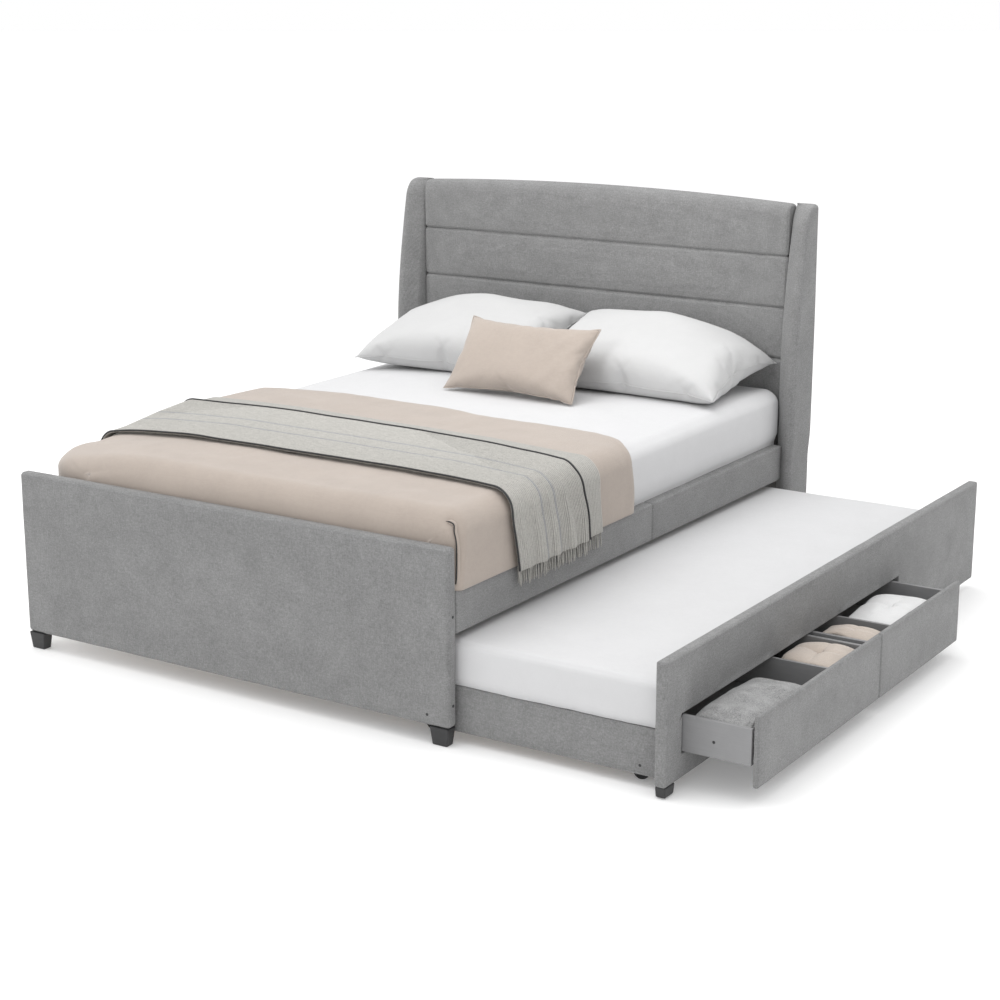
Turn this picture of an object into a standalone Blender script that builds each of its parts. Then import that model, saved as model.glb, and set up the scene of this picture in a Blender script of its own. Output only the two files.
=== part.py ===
"""Upholstered trundle bed: a queen bed with a winged headboard, a roll-out trundle and two drawers in its front.

Metres, +Z up, +X towards the side where the trundle rolls out, +Y from the foot to the head.
The bed is laid out with X 0 on its centre line and Y 0 on the footboard's front face, and the
whole model is then moved so that its origin is the centre of the bottom of its bounding box.
The trundle is modelled rolled out and the drawers part open.
"""

import math

import bmesh
import bpy
from mathutils import Matrix, Vector

# Clearances
GAP = 0.0003            # between faces that touch
PLAY = 0.002            # between pieces that slide past each other

# Footboard and its feet
BED_WIDTH = 1.600
FOOTBOARD_THICKNESS = 0.040
FOOTBOARD_TOP = 0.570
FOOT_HEIGHT = 0.054
FOOT_TOP_SIZE = (0.062, 0.040)
FOOT_TAPER = 0.78
FOOT_INSET = 0.004

# Headboard
HEADBOARD_BACK = 2.228
CORE_THICKNESS = 0.038
CORE_BOTTOM = 0.250
PAD_THICKNESS = 0.040
HEADBOARD_SIDE_TOP = 1.280
HEADBOARD_CROWN = 0.022
CHANNEL_HEIGHT = 0.181
CHANNELS = 4
WING_THICKNESS = 0.078
WING_INNER_DEPTH = 0.110
WING_OUTER_DEPTH = 0.153
WING_TOP_SETBACK = 0.075
WING_LEAN = 1.5   # power of the curve by which the wings lean back
WING_TOP_NARROWING = 0.002
WING_CURVE_START = 0.750
WING_OVERHANG = 0.045   # how far the wings stand out past the rails
WING_FACE = ((0.25, 0.65), (0.70, 0.05))  # across from its inner side, and back from its outer edge

# Side rails and slat deck
RAIL_THICKNESS = 0.030
RAIL_BOTTOM = 0.320
RAIL_TOP = 0.443
RAIL_SEAM_SHARE = 0.54
RAIL_SEAM_GAP = 0.0012
LEDGER = (0.026, 0.030)
LEDGER_LIFT = 0.015
SLAT_THICKNESS = 0.018
SLAT_WIDTH = 0.070
SLATS = 12
STRAP = (0.030, 0.0016)
BEAM = (0.040, 0.028)

# Bedding
MATTRESS_TOP = 0.635
MATTRESS_SIDE_PLAY = 0.010
MATTRESS_END_PLAY = 0.012
BLANKET_LENGTH = 1.070
BLANKET_THICKNESS = 0.014
THROW_START = 0.355
THROW_WIDTH = 0.505
THROW_THICKNESS = 0.007
THROW_BOTTOM = 0.384
PILLOW_SIDE_PLAY = 0.020  # from the outer end of a pillow to the mattress edge
PILLOW_DEPTH = 0.470
PILLOW_THICKNESS = 0.150
PILLOW_TILT = math.radians(22)
CUSHION = (0.530, 0.310, 0.095)
CUSHION_TILT = math.radians(50)

# Trundle: the panel's inner face is X 0 of its own frame
TRUNDLE_OUT = 1.438
PANEL_THICKNESS = 0.0326
PANEL_BOTTOM = 0.0326
PANEL_TOP = 0.375
PANEL_FOOT = (0.031, 0.054)
PANEL_FOOT_TAPER = 0.90
FAR_FOOT_FROM_END = 0.380
FLOOR_CLEARANCE = 0.003
DECK_WIDTH = 0.965
DECK_START = 0.050
DECK_END_PLAY = 0.009  # from the deck to the front of the headboard wings
END_RAIL_THICKNESS = 0.025
END_RAIL_TOP = 0.168
BACK_RAIL_BOTTOM = 0.075
TRUNDLE_SLAT_THICKNESS = 0.008
TRUNDLE_SLAT_WIDTH = 0.062
TRUNDLE_SLATS = 12
ANGLE_FLANGE = 0.025
ANGLE_STEEL = 0.002
TRUNDLE_MATTRESS_TOP = 0.300

# Casters
WHEEL_RADIUS = 0.025
WHEEL_WIDTH = 0.018
AXLE_RADIUS = 0.004
AXLE_HOLE_RADIUS = 0.0048
CHEEK = 0.004
CASTER_TOP = 0.074
CASTER_LENGTH = 0.040
CASTER_INSETS = (0.090, 0.757)

# Drawers: the front's inner face is X 0 of their own frame
DRAWER_OPEN = 0.197
DRAWER_START = 0.094
NEAR_DRAWER_WIDTH = 0.7905
FAR_DRAWER_WIDTH = 0.6165
FRONT_GAP = 0.004
FRONT_THICKNESS = 0.0215
FRONT_BOTTOM = 0.048
FRONT_TOP = 0.244
BOX_DEPTH = 0.400
BOX_BOTTOM = 0.1065
BOX_TOP = 0.2073
BOARD = 0.012
DIVIDER = 0.009
BOTTOM_THICKNESS = 0.006
BOX_INSET = 0.012       # from the end of a front to the box where the two drawers meet
NEAR_DIVIDER = 0.536
FAR_DIVIDER = 0.188
SLOT_CLEARANCE = 0.005
RUNNER = (0.030, 0.022)

# Worked-out positions
HALF = BED_WIDTH / 2
RAIL_INNER = HALF - RAIL_THICKNESS
WING_OUTER = HALF + WING_OVERHANG
WING_INNER = WING_OUTER - WING_THICKNESS
CORE_FRONT = HEADBOARD_BACK - CORE_THICKNESS
PAD_FRONT = CORE_FRONT - PAD_THICKNESS
WING_FRONT_INNER = HEADBOARD_BACK - WING_INNER_DEPTH
WING_FRONT_OUTER = HEADBOARD_BACK - WING_OUTER_DEPTH
RAIL_START = FOOTBOARD_THICKNESS + GAP
RAIL_ACROSS = (HALF - WING_INNER) / WING_THICKNESS
FACE_SLOPE = (WING_FACE[0][1] - WING_FACE[1][1]) / (WING_FACE[1][0] - WING_FACE[0][0])
RAIL_DEPTH = max(0.0, WING_FACE[1][1] + FACE_SLOPE * (WING_FACE[1][0] - RAIL_ACROSS))
RAIL_END = WING_FRONT_OUTER + RAIL_DEPTH * (WING_FRONT_INNER - WING_FRONT_OUTER) - PLAY
RAIL_SEAM = RAIL_START + RAIL_SEAM_SHARE * (RAIL_END - RAIL_START)
LEDGER_TOP = RAIL_BOTTOM + LEDGER_LIFT + LEDGER[1]
SLAT_TOP = LEDGER_TOP + GAP + SLAT_THICKNESS
MATTRESS_BOTTOM = SLAT_TOP + STRAP[1] + GAP
MATTRESS_HALF = RAIL_INNER - MATTRESS_SIDE_PLAY
MATTRESS_START = FOOTBOARD_THICKNESS + MATTRESS_END_PLAY
PILLOW = (MATTRESS_HALF - PILLOW_SIDE_PLAY, PILLOW_DEPTH, PILLOW_THICKNESS)
MATTRESS_END = PAD_FRONT - MATTRESS_END_PLAY
BLANKET_OUTER = HALF - PLAY
BLANKET_TOP = MATTRESS_TOP + GAP + BLANKET_THICKNESS
THROW_TOP = BLANKET_TOP + GAP + THROW_THICKNESS
FRONT_OUT = PANEL_THICKNESS + DRAWER_OPEN
TOTAL_LENGTH = HEADBOARD_BACK
REACH = TRUNDLE_OUT + FRONT_OUT + FRONT_THICKNESS
DECK_END = WING_FRONT_OUTER - DECK_END_PLAY
DRAWERS_END = DRAWER_START + NEAR_DRAWER_WIDTH + FRONT_GAP + FAR_DRAWER_WIDTH
DECK_TOP = BOX_TOP + PLAY + ANGLE_STEEL
TRUNDLE_SLAT_TOP = DECK_TOP + GAP + TRUNDLE_SLAT_THICKNESS
TRUNDLE_MATTRESS_BOTTOM = TRUNDLE_SLAT_TOP + STRAP[1] + GAP


def clear_scene():
    for old in list(bpy.data.objects):
        bpy.data.objects.remove(old)


def material(name, colour, roughness, metallic=0.0):
    made = bpy.data.materials.new(name)
    made.use_nodes = True
    shader = made.node_tree.nodes["Principled BSDF"]
    shader.inputs["Base Color"].default_value = (*colour, 1)
    shader.inputs["Roughness"].default_value = roughness
    shader.inputs["Metallic"].default_value = metallic
    return made


def empty(name, place, parent=None):
    made = bpy.data.objects.new(name, None)
    made.location = place
    made.parent = parent
    bpy.context.scene.collection.objects.link(made)
    return made


def solid(name, mesh, look, parent, place=(0, 0, 0)):
    mesh.materials.append(look)
    made = bpy.data.objects.new(name, mesh)
    made.parent = parent
    made.location = place
    bpy.context.scene.collection.objects.link(made)
    return made


def mesh_from(form, name, facing_out=False):
    if not facing_out:
        bmesh.ops.recalc_face_normals(form, faces=form.faces)
    mesh = bpy.data.meshes.new(name)
    form.to_mesh(mesh)
    form.free()
    return mesh


def bevel(item, width, segments=2):
    rounding = item.modifiers.new("rounding", "BEVEL")
    rounding.width = width
    rounding.segments = segments
    rounding.limit_method = "ANGLE"
    rounding.angle_limit = math.radians(40)
    return item


def box(name, low, high, look, parent, rounding=0.0, segments=2):
    """A block between two corners, in its parent's frame, with its origin at its centre."""
    low, high = Vector(low), Vector(high)
    form = bmesh.new()
    bmesh.ops.create_cube(form, size=1)
    bmesh.ops.scale(form, vec=high - low, verts=form.verts)
    item = solid(name, mesh_from(form, name), look, parent, (low + high) / 2)
    if rounding:
        bevel(item, rounding, segments)
    return item


def combine(item, tools, operation):
    """Joins or cuts item with tools, which are left out of the model."""
    for tool in tools:
        step = item.modifiers.new(operation.lower(), "BOOLEAN")
        step.operation = operation
        step.solver = "EXACT"
        step.object = tool
        tool.hide_render = True
        tool.display_type = "WIRE"
    return item


def cylinder(name, radius, length, look, parent, place, sides=24):
    """A round bar along Y, centred on place."""
    form = bmesh.new()
    bmesh.ops.create_cone(
        form, cap_ends=True, segments=sides, radius1=radius, radius2=radius, depth=length
    )
    bmesh.ops.rotate(form, matrix=Matrix.Rotation(math.pi / 2, 3, "X"), verts=form.verts)
    item = solid(name, mesh_from(form, name), look, parent, place)
    item.data.shade_smooth()
    item.data.set_sharp_from_angle(angle=math.radians(40))
    return item


def tapered_foot(name, size, height, look, parent, place, taper=FOOT_TAPER):
    """A square foot that narrows towards the floor, its top centre at place."""
    form = bmesh.new()
    bmesh.ops.create_cube(form, size=1)
    for corner in form.verts:
        share = 1.0 if corner.co.z > 0 else taper
        corner.co = Vector((corner.co.x * size[0] * share, corner.co.y * size[1] * share,
                            (corner.co.z - 0.5) * height))
    return bevel(solid(name, mesh_from(form, name), look, parent, place), 0.003)


def loft(rings):
    """A closed form through rings of points, all with the same count."""
    form = bmesh.new()
    layers = [[form.verts.new(point) for point in ring] for ring in rings]
    count = len(layers[0])
    for lower, upper in zip(layers, layers[1:]):
        for i in range(count):
            j = (i + 1) % count
            form.faces.new((lower[i], lower[j], upper[j], upper[i]))
    form.faces.new(layers[0])
    form.faces.new(layers[-1])
    return form


def arc(centre, radius, start, end, steps):
    """Points on a circle in a plane, from one angle to another in degrees."""
    turns = [math.radians(start + (end - start) * i / steps) for i in range(steps + 1)]
    return [(centre[0] + radius * math.cos(t), centre[1] + radius * math.sin(t)) for t in turns]


def wing(name, side, look, parent):
    """A headboard wing: its front face turns inwards, and its top narrows and leans back."""
    rings = []
    radius = 0.030
    crown = [(1 - math.cos(math.radians(a)), math.sin(math.radians(a))) for a in (30, 60, 85)]
    levels = [(FOOT_HEIGHT, 0.0), (WING_CURVE_START, 0.0)]
    rise = HEADBOARD_SIDE_TOP - radius - WING_CURVE_START
    levels += [(WING_CURVE_START + rise * i / 6, 0.0) for i in range(1, 7)]
    levels += [(HEADBOARD_SIDE_TOP - radius + radius * up, radius * inward) for inward, up in crown]
    for height, inset in levels:
        share = max(0.0, (height - WING_CURVE_START) / (HEADBOARD_SIDE_TOP - WING_CURVE_START))
        back = HEADBOARD_BACK - inset * 0.25
        outer = WING_OUTER - WING_TOP_NARROWING * share ** 2 - inset * 0.4
        inner = WING_INNER + inset * 0.2
        shift = WING_TOP_SETBACK * share ** WING_LEAN + inset
        front_outer = WING_FRONT_OUTER + shift
        front_inner = WING_FRONT_INNER + shift * 0.85
        wide, turn = outer - inner, front_inner - front_outer
        corners = [(inner, back), (inner, front_inner)]
        corners += [(inner + wide * across, front_outer + turn * depth) for across, depth in WING_FACE]
        corners += [(outer, front_outer + 0.014), (outer, back)]
        rings.append([(side * x, y, height) for x, y in corners])
    return solid(name, mesh_from(loft(rings), name), look, parent)


def crowned_pad(name, low, high, crown, look, parent):
    """A channel pad with a rounded front, and a top that rises by crown at mid width."""
    columns = 12
    rings = []
    for i in range(columns + 1):
        x = low[0] + (high[0] - low[0]) * i / columns
        top = high[2] + crown * (1 - (2 * i / columns - 1) ** 2)
        soft = min(0.014, (high[1] - low[1]) * 0.4)
        roll = soft if not crown else (high[1] - low[1]) * 0.42
        outline = [(high[1], low[2]), (high[1], top - (roll if crown else 0))]
        if crown:
            outline += arc((high[1] - roll, top - roll), roll, 0, 90, 4)[1:]
        outline += arc((low[1] + roll, top - roll), roll, 90, 180, 4)
        outline += arc((low[1] + soft, low[2] + soft), soft, 180, 270, 3)
        rings.append([(x, y, z) for y, z in outline])
    return solid(name, mesh_from(loft(rings), name), look, parent)


def drape(name, inner, outer, bottom, ceiling, top, start, end, look, parent):
    """A cloth over the mattress: a top with a side hanging down on the left and on the right."""
    def half_profile(reach, height, radius):
        return [(reach, bottom)] + arc((reach - radius, height - radius), radius, 0, 90, 4)

    over = half_profile(outer, top, 0.030)
    under = half_profile(inner, ceiling, 0.022)
    profile = over + [(-x, z) for x, z in reversed(over)]
    profile += [(-x, z) for x, z in under] + [(x, z) for x, z in reversed(under)]
    rings = [[(x, y, z) for x, z in profile] for y in (start, end)]
    return solid(name, mesh_from(loft(rings), name), look, parent)


def pillow(name, size, tilt, centre, look, parent):
    """A stuffed form that swells between its thin edges, leaning back by tilt."""
    across, along = 12, 8
    form = bmesh.new()

    def point(i, j, side):
        u, v = 2 * i / across - 1, 2 * j / along - 1
        swell = ((1 - u ** 2) * (1 - v ** 2)) ** 0.42
        pull = 0.035 * (1 - u ** 2) * (1 - v ** 2)
        return Vector((u * size[0] / 2 * (1 - pull), v * size[1] / 2 * (1 - pull), side * swell * size[2] / 2))

    grids = {}
    for side in (1, -1):
        for i in range(across + 1):
            for j in range(along + 1):
                edge = i in (0, across) or j in (0, along)
                if edge and side == -1:
                    grids[i, j, side] = grids[i, j, 1]
                else:
                    grids[i, j, side] = form.verts.new(point(i, j, side))
    for side in (1, -1):
        for i in range(across):
            for j in range(along):
                square = [grids[i, j, side], grids[i + 1, j, side],
                          grids[i + 1, j + 1, side], grids[i, j + 1, side]]
                form.faces.new(square if side == 1 else square[::-1])
    item = solid(name, mesh_from(form, name, facing_out=True), look, parent, centre)
    item.rotation_euler.x = tilt
    item.data.shade_smooth()
    return item


def slat_deck(name, count, thickness, width, low, high, along, look, parent):
    """Slats joined by two webbing straps on top of them. along is the axis, 0 or 1, that a slat follows."""
    cross = 1 - along
    pitch = (high[cross] - low[cross] - width) / (count - 1)
    slats = []
    for i in range(count):
        first, last = [0, 0, low[2]], [0, 0, low[2] + thickness]
        first[along], last[along] = low[along], high[along]
        first[cross] = low[cross] + pitch * i
        last[cross] = first[cross] + width
        slats.append(box(f"{name}_slat_{i + 1}", first, last, look, parent))
    straps = []
    for share in (0.2, 0.8):
        middle = low[along] + share * (high[along] - low[along])
        first = [0, 0, low[2] + thickness - GAP]
        last = [0, 0, low[2] + thickness + STRAP[1]]
        first[along], last[along] = middle - STRAP[0] / 2, middle + STRAP[0] / 2
        first[cross], last[cross] = low[cross] + GAP, high[cross] - GAP
        straps.append(box(f"{name}_strap_{len(straps) + 1}", first, last, look, parent))
    base = slats[0]
    base.name = name
    return combine(base, straps[:1] + slats[1:] + straps[1:], "UNION")


def build_headboard(bed, linen, black):
    box("headboard_core", (-WING_INNER + GAP, CORE_FRONT, CORE_BOTTOM),
        (WING_INNER - GAP, HEADBOARD_BACK, HEADBOARD_SIDE_TOP - CHANNEL_HEIGHT - GAP), linen, bed,
        0.006)
    for i in range(CHANNELS):
        top = HEADBOARD_SIDE_TOP - i * CHANNEL_HEIGHT
        first = i == 0
        low = (-WING_INNER + GAP, PAD_FRONT, top - CHANNEL_HEIGHT + GAP)
        high = (WING_INNER - GAP, HEADBOARD_BACK if first else CORE_FRONT - GAP, top)
        crowned_pad(f"headboard_channel_{i + 1}", low, high, HEADBOARD_CROWN if first else 0.0, linen, bed)
    middle = (WING_INNER + WING_OUTER) / 2
    depth = (WING_FRONT_INNER + HEADBOARD_BACK) / 2
    for side, word in ((-1, "left"), (1, "right")):
        wing(f"headboard_wing_{word}", side, linen, bed)
        tapered_foot(f"headboard_leg_{word}", FOOT_TOP_SIZE, FOOT_HEIGHT - GAP, black, bed,
                     (side * middle, depth, FOOT_HEIGHT - GAP))


def build_footboard(bed, linen, black):
    box("footboard", (-HALF, 0, FOOT_HEIGHT), (HALF, FOOTBOARD_THICKNESS, FOOTBOARD_TOP),
        linen, bed, 0.011, 3)
    reach = HALF - FOOT_INSET - FOOT_TOP_SIZE[0] / 2
    for side, word in ((-1, "left"), (1, "right")):
        tapered_foot(f"footboard_leg_{word}", FOOT_TOP_SIZE, FOOT_HEIGHT - GAP, black, bed,
                     (side * reach, FOOTBOARD_THICKNESS / 2, FOOT_HEIGHT - GAP))


def build_rails(bed, linen):
    """Each side rail is two boards that meet at a seam, with a slat ledger inside."""
    halves = (("foot", RAIL_START, RAIL_SEAM - RAIL_SEAM_GAP / 2),
              ("head", RAIL_SEAM + RAIL_SEAM_GAP / 2, RAIL_END))
    for side, word in ((-1, "left"), (1, "right")):
        for end, start, stop in halves:
            name = f"side_rail_{word}_{end}"
            faces = sorted((side * RAIL_INNER, side * HALF))
            board = box(name, (faces[0], start, RAIL_BOTTOM), (faces[1], stop, RAIL_TOP),
                        linen, bed, 0.005)
            strip = sorted((side * (RAIL_INNER - LEDGER[0]), side * (RAIL_INNER + 0.006)))
            ledger = box(f"{name}_ledger", (strip[0], start + PLAY * 3, LEDGER_TOP - LEDGER[1]),
                         (strip[1], stop - PLAY * 3, LEDGER_TOP), linen, bed)
            combine(board, [ledger], "UNION")


def build_deck(bed, timber, steel):
    box("centre_beam", (-BEAM[0] / 2, RAIL_START, LEDGER_TOP - BEAM[1]),
        (BEAM[0] / 2, CORE_FRONT - GAP, LEDGER_TOP), steel, bed, 0.002, 1)
    reach = RAIL_INNER - PLAY
    slat_deck("bed_slats", SLATS, SLAT_THICKNESS, SLAT_WIDTH,
              (-reach, RAIL_START + 0.030, LEDGER_TOP + GAP), (reach, RAIL_END - 0.030, 0),
              0, timber, bed)


def build_bedding(bed, white, beige, woven):
    box("mattress", (-MATTRESS_HALF, MATTRESS_START, MATTRESS_BOTTOM),
        (MATTRESS_HALF, MATTRESS_END, MATTRESS_TOP), white, bed, 0.022, 3)
    drape("blanket", MATTRESS_HALF + GAP, BLANKET_OUTER, RAIL_TOP + PLAY, MATTRESS_TOP + GAP,
          BLANKET_TOP, MATTRESS_START, MATTRESS_START + BLANKET_LENGTH, beige, bed)
    drape("throw", HALF + GAP, HALF + GAP + THROW_THICKNESS, THROW_BOTTOM, BLANKET_TOP + GAP,
          THROW_TOP, THROW_START, THROW_START + THROW_WIDTH, woven, bed)
    rise = PILLOW[1] / 2 * math.sin(PILLOW_TILT)
    reach = PILLOW[1] / 2 * math.cos(PILLOW_TILT)
    place_y = PAD_FRONT - 0.050 - reach
    place_z = MATTRESS_TOP + 0.75 * rise + 0.36 * PILLOW[2] * math.cos(PILLOW_TILT) + 0.003
    for side, word in ((-1, "left"), (1, "right")):
        pillow(f"pillow_{word}", PILLOW, PILLOW_TILT,
               (side * (PILLOW[0] / 2 + PLAY), place_y, place_z), white, bed)
    lift = CUSHION[1] / 2 * math.sin(CUSHION_TILT) + 0.018
    pillow("accent_cushion", CUSHION, CUSHION_TILT,
           (0.075, place_y - reach - 0.114, MATTRESS_TOP + lift), beige, bed)


def build_trundle_frame(trundle, linen, black, timber, steel):
    panel = box("trundle_panel", (0, 0, PANEL_BOTTOM), (PANEL_THICKNESS, TOTAL_LENGTH, PANEL_TOP),
                linen, trundle, 0.006)
    opening = box("drawer_opening",
                  (-PANEL_THICKNESS, DRAWER_START - SLOT_CLEARANCE, BOX_BOTTOM - SLOT_CLEARANCE),
                  (2 * PANEL_THICKNESS, DRAWERS_END + 0.040, BOX_TOP + SLOT_CLEARANCE),
                  linen, trundle)
    combine(panel, [opening], "DIFFERENCE")
    foot_reach = PANEL_FOOT[1] / 2 + FOOT_INSET
    for word, y in (("near", foot_reach), ("far", TOTAL_LENGTH - FAR_FOOT_FROM_END)):
        tapered_foot(f"trundle_foot_{word}", PANEL_FOOT, PANEL_BOTTOM - GAP - FLOOR_CLEARANCE,
                     black, trundle, (PANEL_THICKNESS / 2, y, PANEL_BOTTOM - GAP), PANEL_FOOT_TAPER)
    inner_start = DECK_START + END_RAIL_THICKNESS
    inner_end = DECK_END - END_RAIL_THICKNESS
    for word, start, end in (("near", DECK_START, inner_start), ("far", inner_end, DECK_END)):
        box(f"trundle_end_rail_{word}", (-DECK_WIDTH, start, PANEL_BOTTOM),
            (-GAP, end, END_RAIL_TOP), linen, trundle, 0.005)
    back = -DECK_WIDTH + END_RAIL_THICKNESS
    box("trundle_back_rail", (-DECK_WIDTH, inner_start + GAP, BACK_RAIL_BOTTOM),
        (back, inner_end - GAP, DECK_TOP), linen, trundle, 0.003, 1)
    angle = box("trundle_slat_angle", (-ANGLE_FLANGE, inner_start + GAP, DECK_TOP - ANGLE_STEEL),
                (-GAP, inner_end - GAP, DECK_TOP), steel, trundle)
    upright = box("slat_angle_upright", (-GAP - ANGLE_STEEL, inner_start + 2 * GAP, DECK_TOP - ANGLE_STEEL / 2),
                  (-GAP, inner_end - 2 * GAP, DECK_TOP + ANGLE_FLANGE), steel, trundle)
    combine(angle, [upright], "UNION")
    slat_deck("trundle_slats", TRUNDLE_SLATS, TRUNDLE_SLAT_THICKNESS, TRUNDLE_SLAT_WIDTH,
              (-DECK_WIDTH, inner_start + PLAY, DECK_TOP + GAP),
              (-ANGLE_STEEL - PLAY, inner_end - PLAY, 0), 0, timber, trundle)
    build_runners(trundle, timber, back)


def build_runners(trundle, timber, back):
    """Three bars from the panel to the back rail, which the drawer boxes slide on."""
    near_side = DRAWER_START + BOARD
    middle = DRAWER_START + NEAR_DRAWER_WIDTH + FRONT_GAP / 2
    far_side = DRAWERS_END - BOARD
    top = BOX_BOTTOM - 0.001
    spans = (("near", near_side - BOARD, near_side - BOARD + RUNNER[0]),
             ("middle", middle - 1.5 * RUNNER[0], middle + 1.5 * RUNNER[0]),
             ("far", far_side - RUNNER[0] + BOARD, far_side + BOARD))
    for word, start, end in spans:
        box(f"drawer_runner_{word}", (back + GAP, start, top - RUNNER[1]), (-GAP, end, top),
            timber, trundle, 0.002, 1)


def build_trundle_mattress(trundle, white):
    """The mattress, with the ends of its fitted sheet hanging over the ends of the slat deck."""
    start, end = DECK_START, DECK_END
    mattress = box("trundle_mattress", (-DECK_WIDTH, start, TRUNDLE_MATTRESS_BOTTOM),
                   (-ANGLE_STEEL - PLAY, end, TRUNDLE_MATTRESS_TOP), white, trundle, 0.012)
    skirts = []
    hang = END_RAIL_TOP + PLAY
    depth = END_RAIL_THICKNESS - PLAY
    for word, low, high in (("near", start + GAP, start + depth), ("far", end - depth, end - GAP)):
        skirts.append(box(f"sheet_skirt_{word}", (-DECK_WIDTH + PLAY, low, hang),
                          (-ANGLE_STEEL - 2 * PLAY, high, TRUNDLE_MATTRESS_BOTTOM + 0.030),
                          white, trundle))
    combine(mattress, skirts, "UNION")


def build_casters(trundle, black):
    """Fixed casters under the corners. Each wheel has an empty on its axle."""
    inner_start = DECK_START + END_RAIL_THICKNESS
    inner_end = DECK_END - END_RAIL_THICKNESS
    half = WHEEL_WIDTH / 2 + 0.0015 + CHEEK
    for end, wall, inward in (("near", inner_start, 1), ("far", inner_end, -1)):
        for place, inset in zip(("front", "back"), CASTER_INSETS):
            centre = Vector((-inset, wall + inward * (half + 0.012), WHEEL_RADIUS))
            name = f"{end}_{place}"
            axle = empty(f"wheel_{name}_axis", centre, trundle)
            span = sorted((wall + inward * GAP, centre.y + inward * half))
            block = box(f"caster_{name}", (-inset - CASTER_LENGTH / 2, span[0], CASTER_TOP - 0.018),
                        (-inset + CASTER_LENGTH / 2, span[1], CASTER_TOP), black, trundle)
            cheeks = []
            for side in (-1, 1):
                faces = sorted((centre.y + side * half, centre.y + side * (half - CHEEK)))
                cheeks.append(box(f"caster_{name}_cheek_{side + 1}",
                                  (-inset - 0.011, faces[0], WHEEL_RADIUS - 0.010),
                                  (-inset + 0.011, faces[1], CASTER_TOP - 0.010), black, trundle))
            combine(block, cheeks, "UNION")
            hole = cylinder(f"caster_{name}_hole", AXLE_HOLE_RADIUS, 4 * half, black, trundle, centre)
            combine(block, [hole], "DIFFERENCE")
            wheel = cylinder(f"wheel_{name}", WHEEL_RADIUS, WHEEL_WIDTH, black, axle, (0, 0, 0), 32)
            pin = cylinder(f"wheel_{name}_pin", AXLE_RADIUS, 2 * half, black, axle, (0, 0, 0), 16)
            combine(wheel, [pin], "UNION")


def build_drawer(word, drawer, width, box_start, box_end, divider, linen, board_look):
    """A drawer in its own frame: X 0 at the front's inner face, Y 0 at the front's near end."""
    box(f"{word}_drawer_front", (0, 0, FRONT_BOTTOM), (FRONT_THICKNESS, width, FRONT_TOP),
        linen, drawer, 0.005)
    for side, start, end in (("near", box_start, box_start + BOARD), ("far", box_end - BOARD, box_end)):
        box(f"{word}_drawer_side_{side}", (-BOX_DEPTH, start, BOX_BOTTOM), (-GAP, end, BOX_TOP),
            board_look, drawer, 0.001, 1)
    first, last = box_start + BOARD + GAP, box_end - BOARD - GAP
    box(f"{word}_drawer_back", (-BOX_DEPTH, first, BOX_BOTTOM), (-BOX_DEPTH + BOARD, last, BOX_TOP),
        board_look, drawer, 0.001, 1)
    floor = BOX_BOTTOM + 0.0015
    box(f"{word}_drawer_bottom", (-BOX_DEPTH + BOARD + GAP, first, floor),
        (-GAP, last, floor + BOTTOM_THICKNESS), board_look, drawer)
    box(f"{word}_drawer_divider", (-BOX_DEPTH + BOARD + GAP, divider, floor + BOTTOM_THICKNESS + GAP),
        (-GAP, divider + DIVIDER, BOX_TOP), board_look, drawer, 0.001, 1)


def folded_towel(name, start, end, drawer, look):
    floor = BOX_BOTTOM + 0.0015 + BOTTOM_THICKNESS
    box(name, (-BOX_DEPTH + BOARD + 0.020, start, floor + PLAY), (-0.016, end, BOX_TOP - 0.004),
        look, drawer, 0.018, 3)


def build_drawers(trundle, linen, board_look, grey, beige, white):
    near = empty("near_drawer", (FRONT_OUT, DRAWER_START, 0), trundle)
    far = empty("far_drawer", (FRONT_OUT, DRAWER_START + NEAR_DRAWER_WIDTH + FRONT_GAP, 0), trundle)
    near_end = NEAR_DRAWER_WIDTH - BOX_INSET
    far_end = FAR_DRAWER_WIDTH - 0.001
    build_drawer("near", near, NEAR_DRAWER_WIDTH, 0.001, near_end, NEAR_DIVIDER, linen, board_look)
    build_drawer("far", far, FAR_DRAWER_WIDTH, BOX_INSET, far_end, FAR_DIVIDER, linen, board_look)
    folded_towel("towel_grey", BOARD + 0.020, NEAR_DIVIDER * 0.76, near, grey)
    folded_towel("towel_beige_near", NEAR_DIVIDER + DIVIDER + 0.012, near_end - BOARD - 0.008, near, beige)
    folded_towel("towel_beige_far", BOX_INSET + BOARD + 0.008, FAR_DIVIDER - 0.045, far, beige)
    folded_towel("towel_white", FAR_DIVIDER + DIVIDER + 0.015, far_end - BOARD - 0.070, far, white)


def main():
    clear_scene()
    linen = material("grey_linen", (0.27, 0.275, 0.28), 0.9)
    black = material("black_plastic", (0.015, 0.015, 0.016), 0.5)
    timber = material("slat_timber", (0.62, 0.46, 0.30), 0.6)
    steel = material("black_steel", (0.05, 0.05, 0.05), 0.45, 0.8)
    board_look = material("grey_board", (0.42, 0.42, 0.42), 0.6)
    white = material("white_cotton", (0.85, 0.85, 0.85), 0.85)
    beige = material("beige_cotton", (0.62, 0.53, 0.46), 0.85)
    woven = material("woven_throw", (0.50, 0.49, 0.46), 0.9)
    grey = material("grey_towel", (0.30, 0.30, 0.30), 0.95)

    left = -WING_OUTER
    bed = empty("bed", (-(left + REACH) / 2, -TOTAL_LENGTH / 2, 0))
    trundle = empty("trundle", (TRUNDLE_OUT, 0, 0), bed)

    build_headboard(bed, linen, black)
    build_footboard(bed, linen, black)
    build_rails(bed, linen)
    build_deck(bed, timber, steel)
    build_bedding(bed, white, beige, woven)
    build_trundle_frame(trundle, linen, black, timber, steel)
    build_trundle_mattress(trundle, white)
    build_casters(trundle, black)
    build_drawers(trundle, linen, board_look, grey, beige, white)


main()
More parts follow.
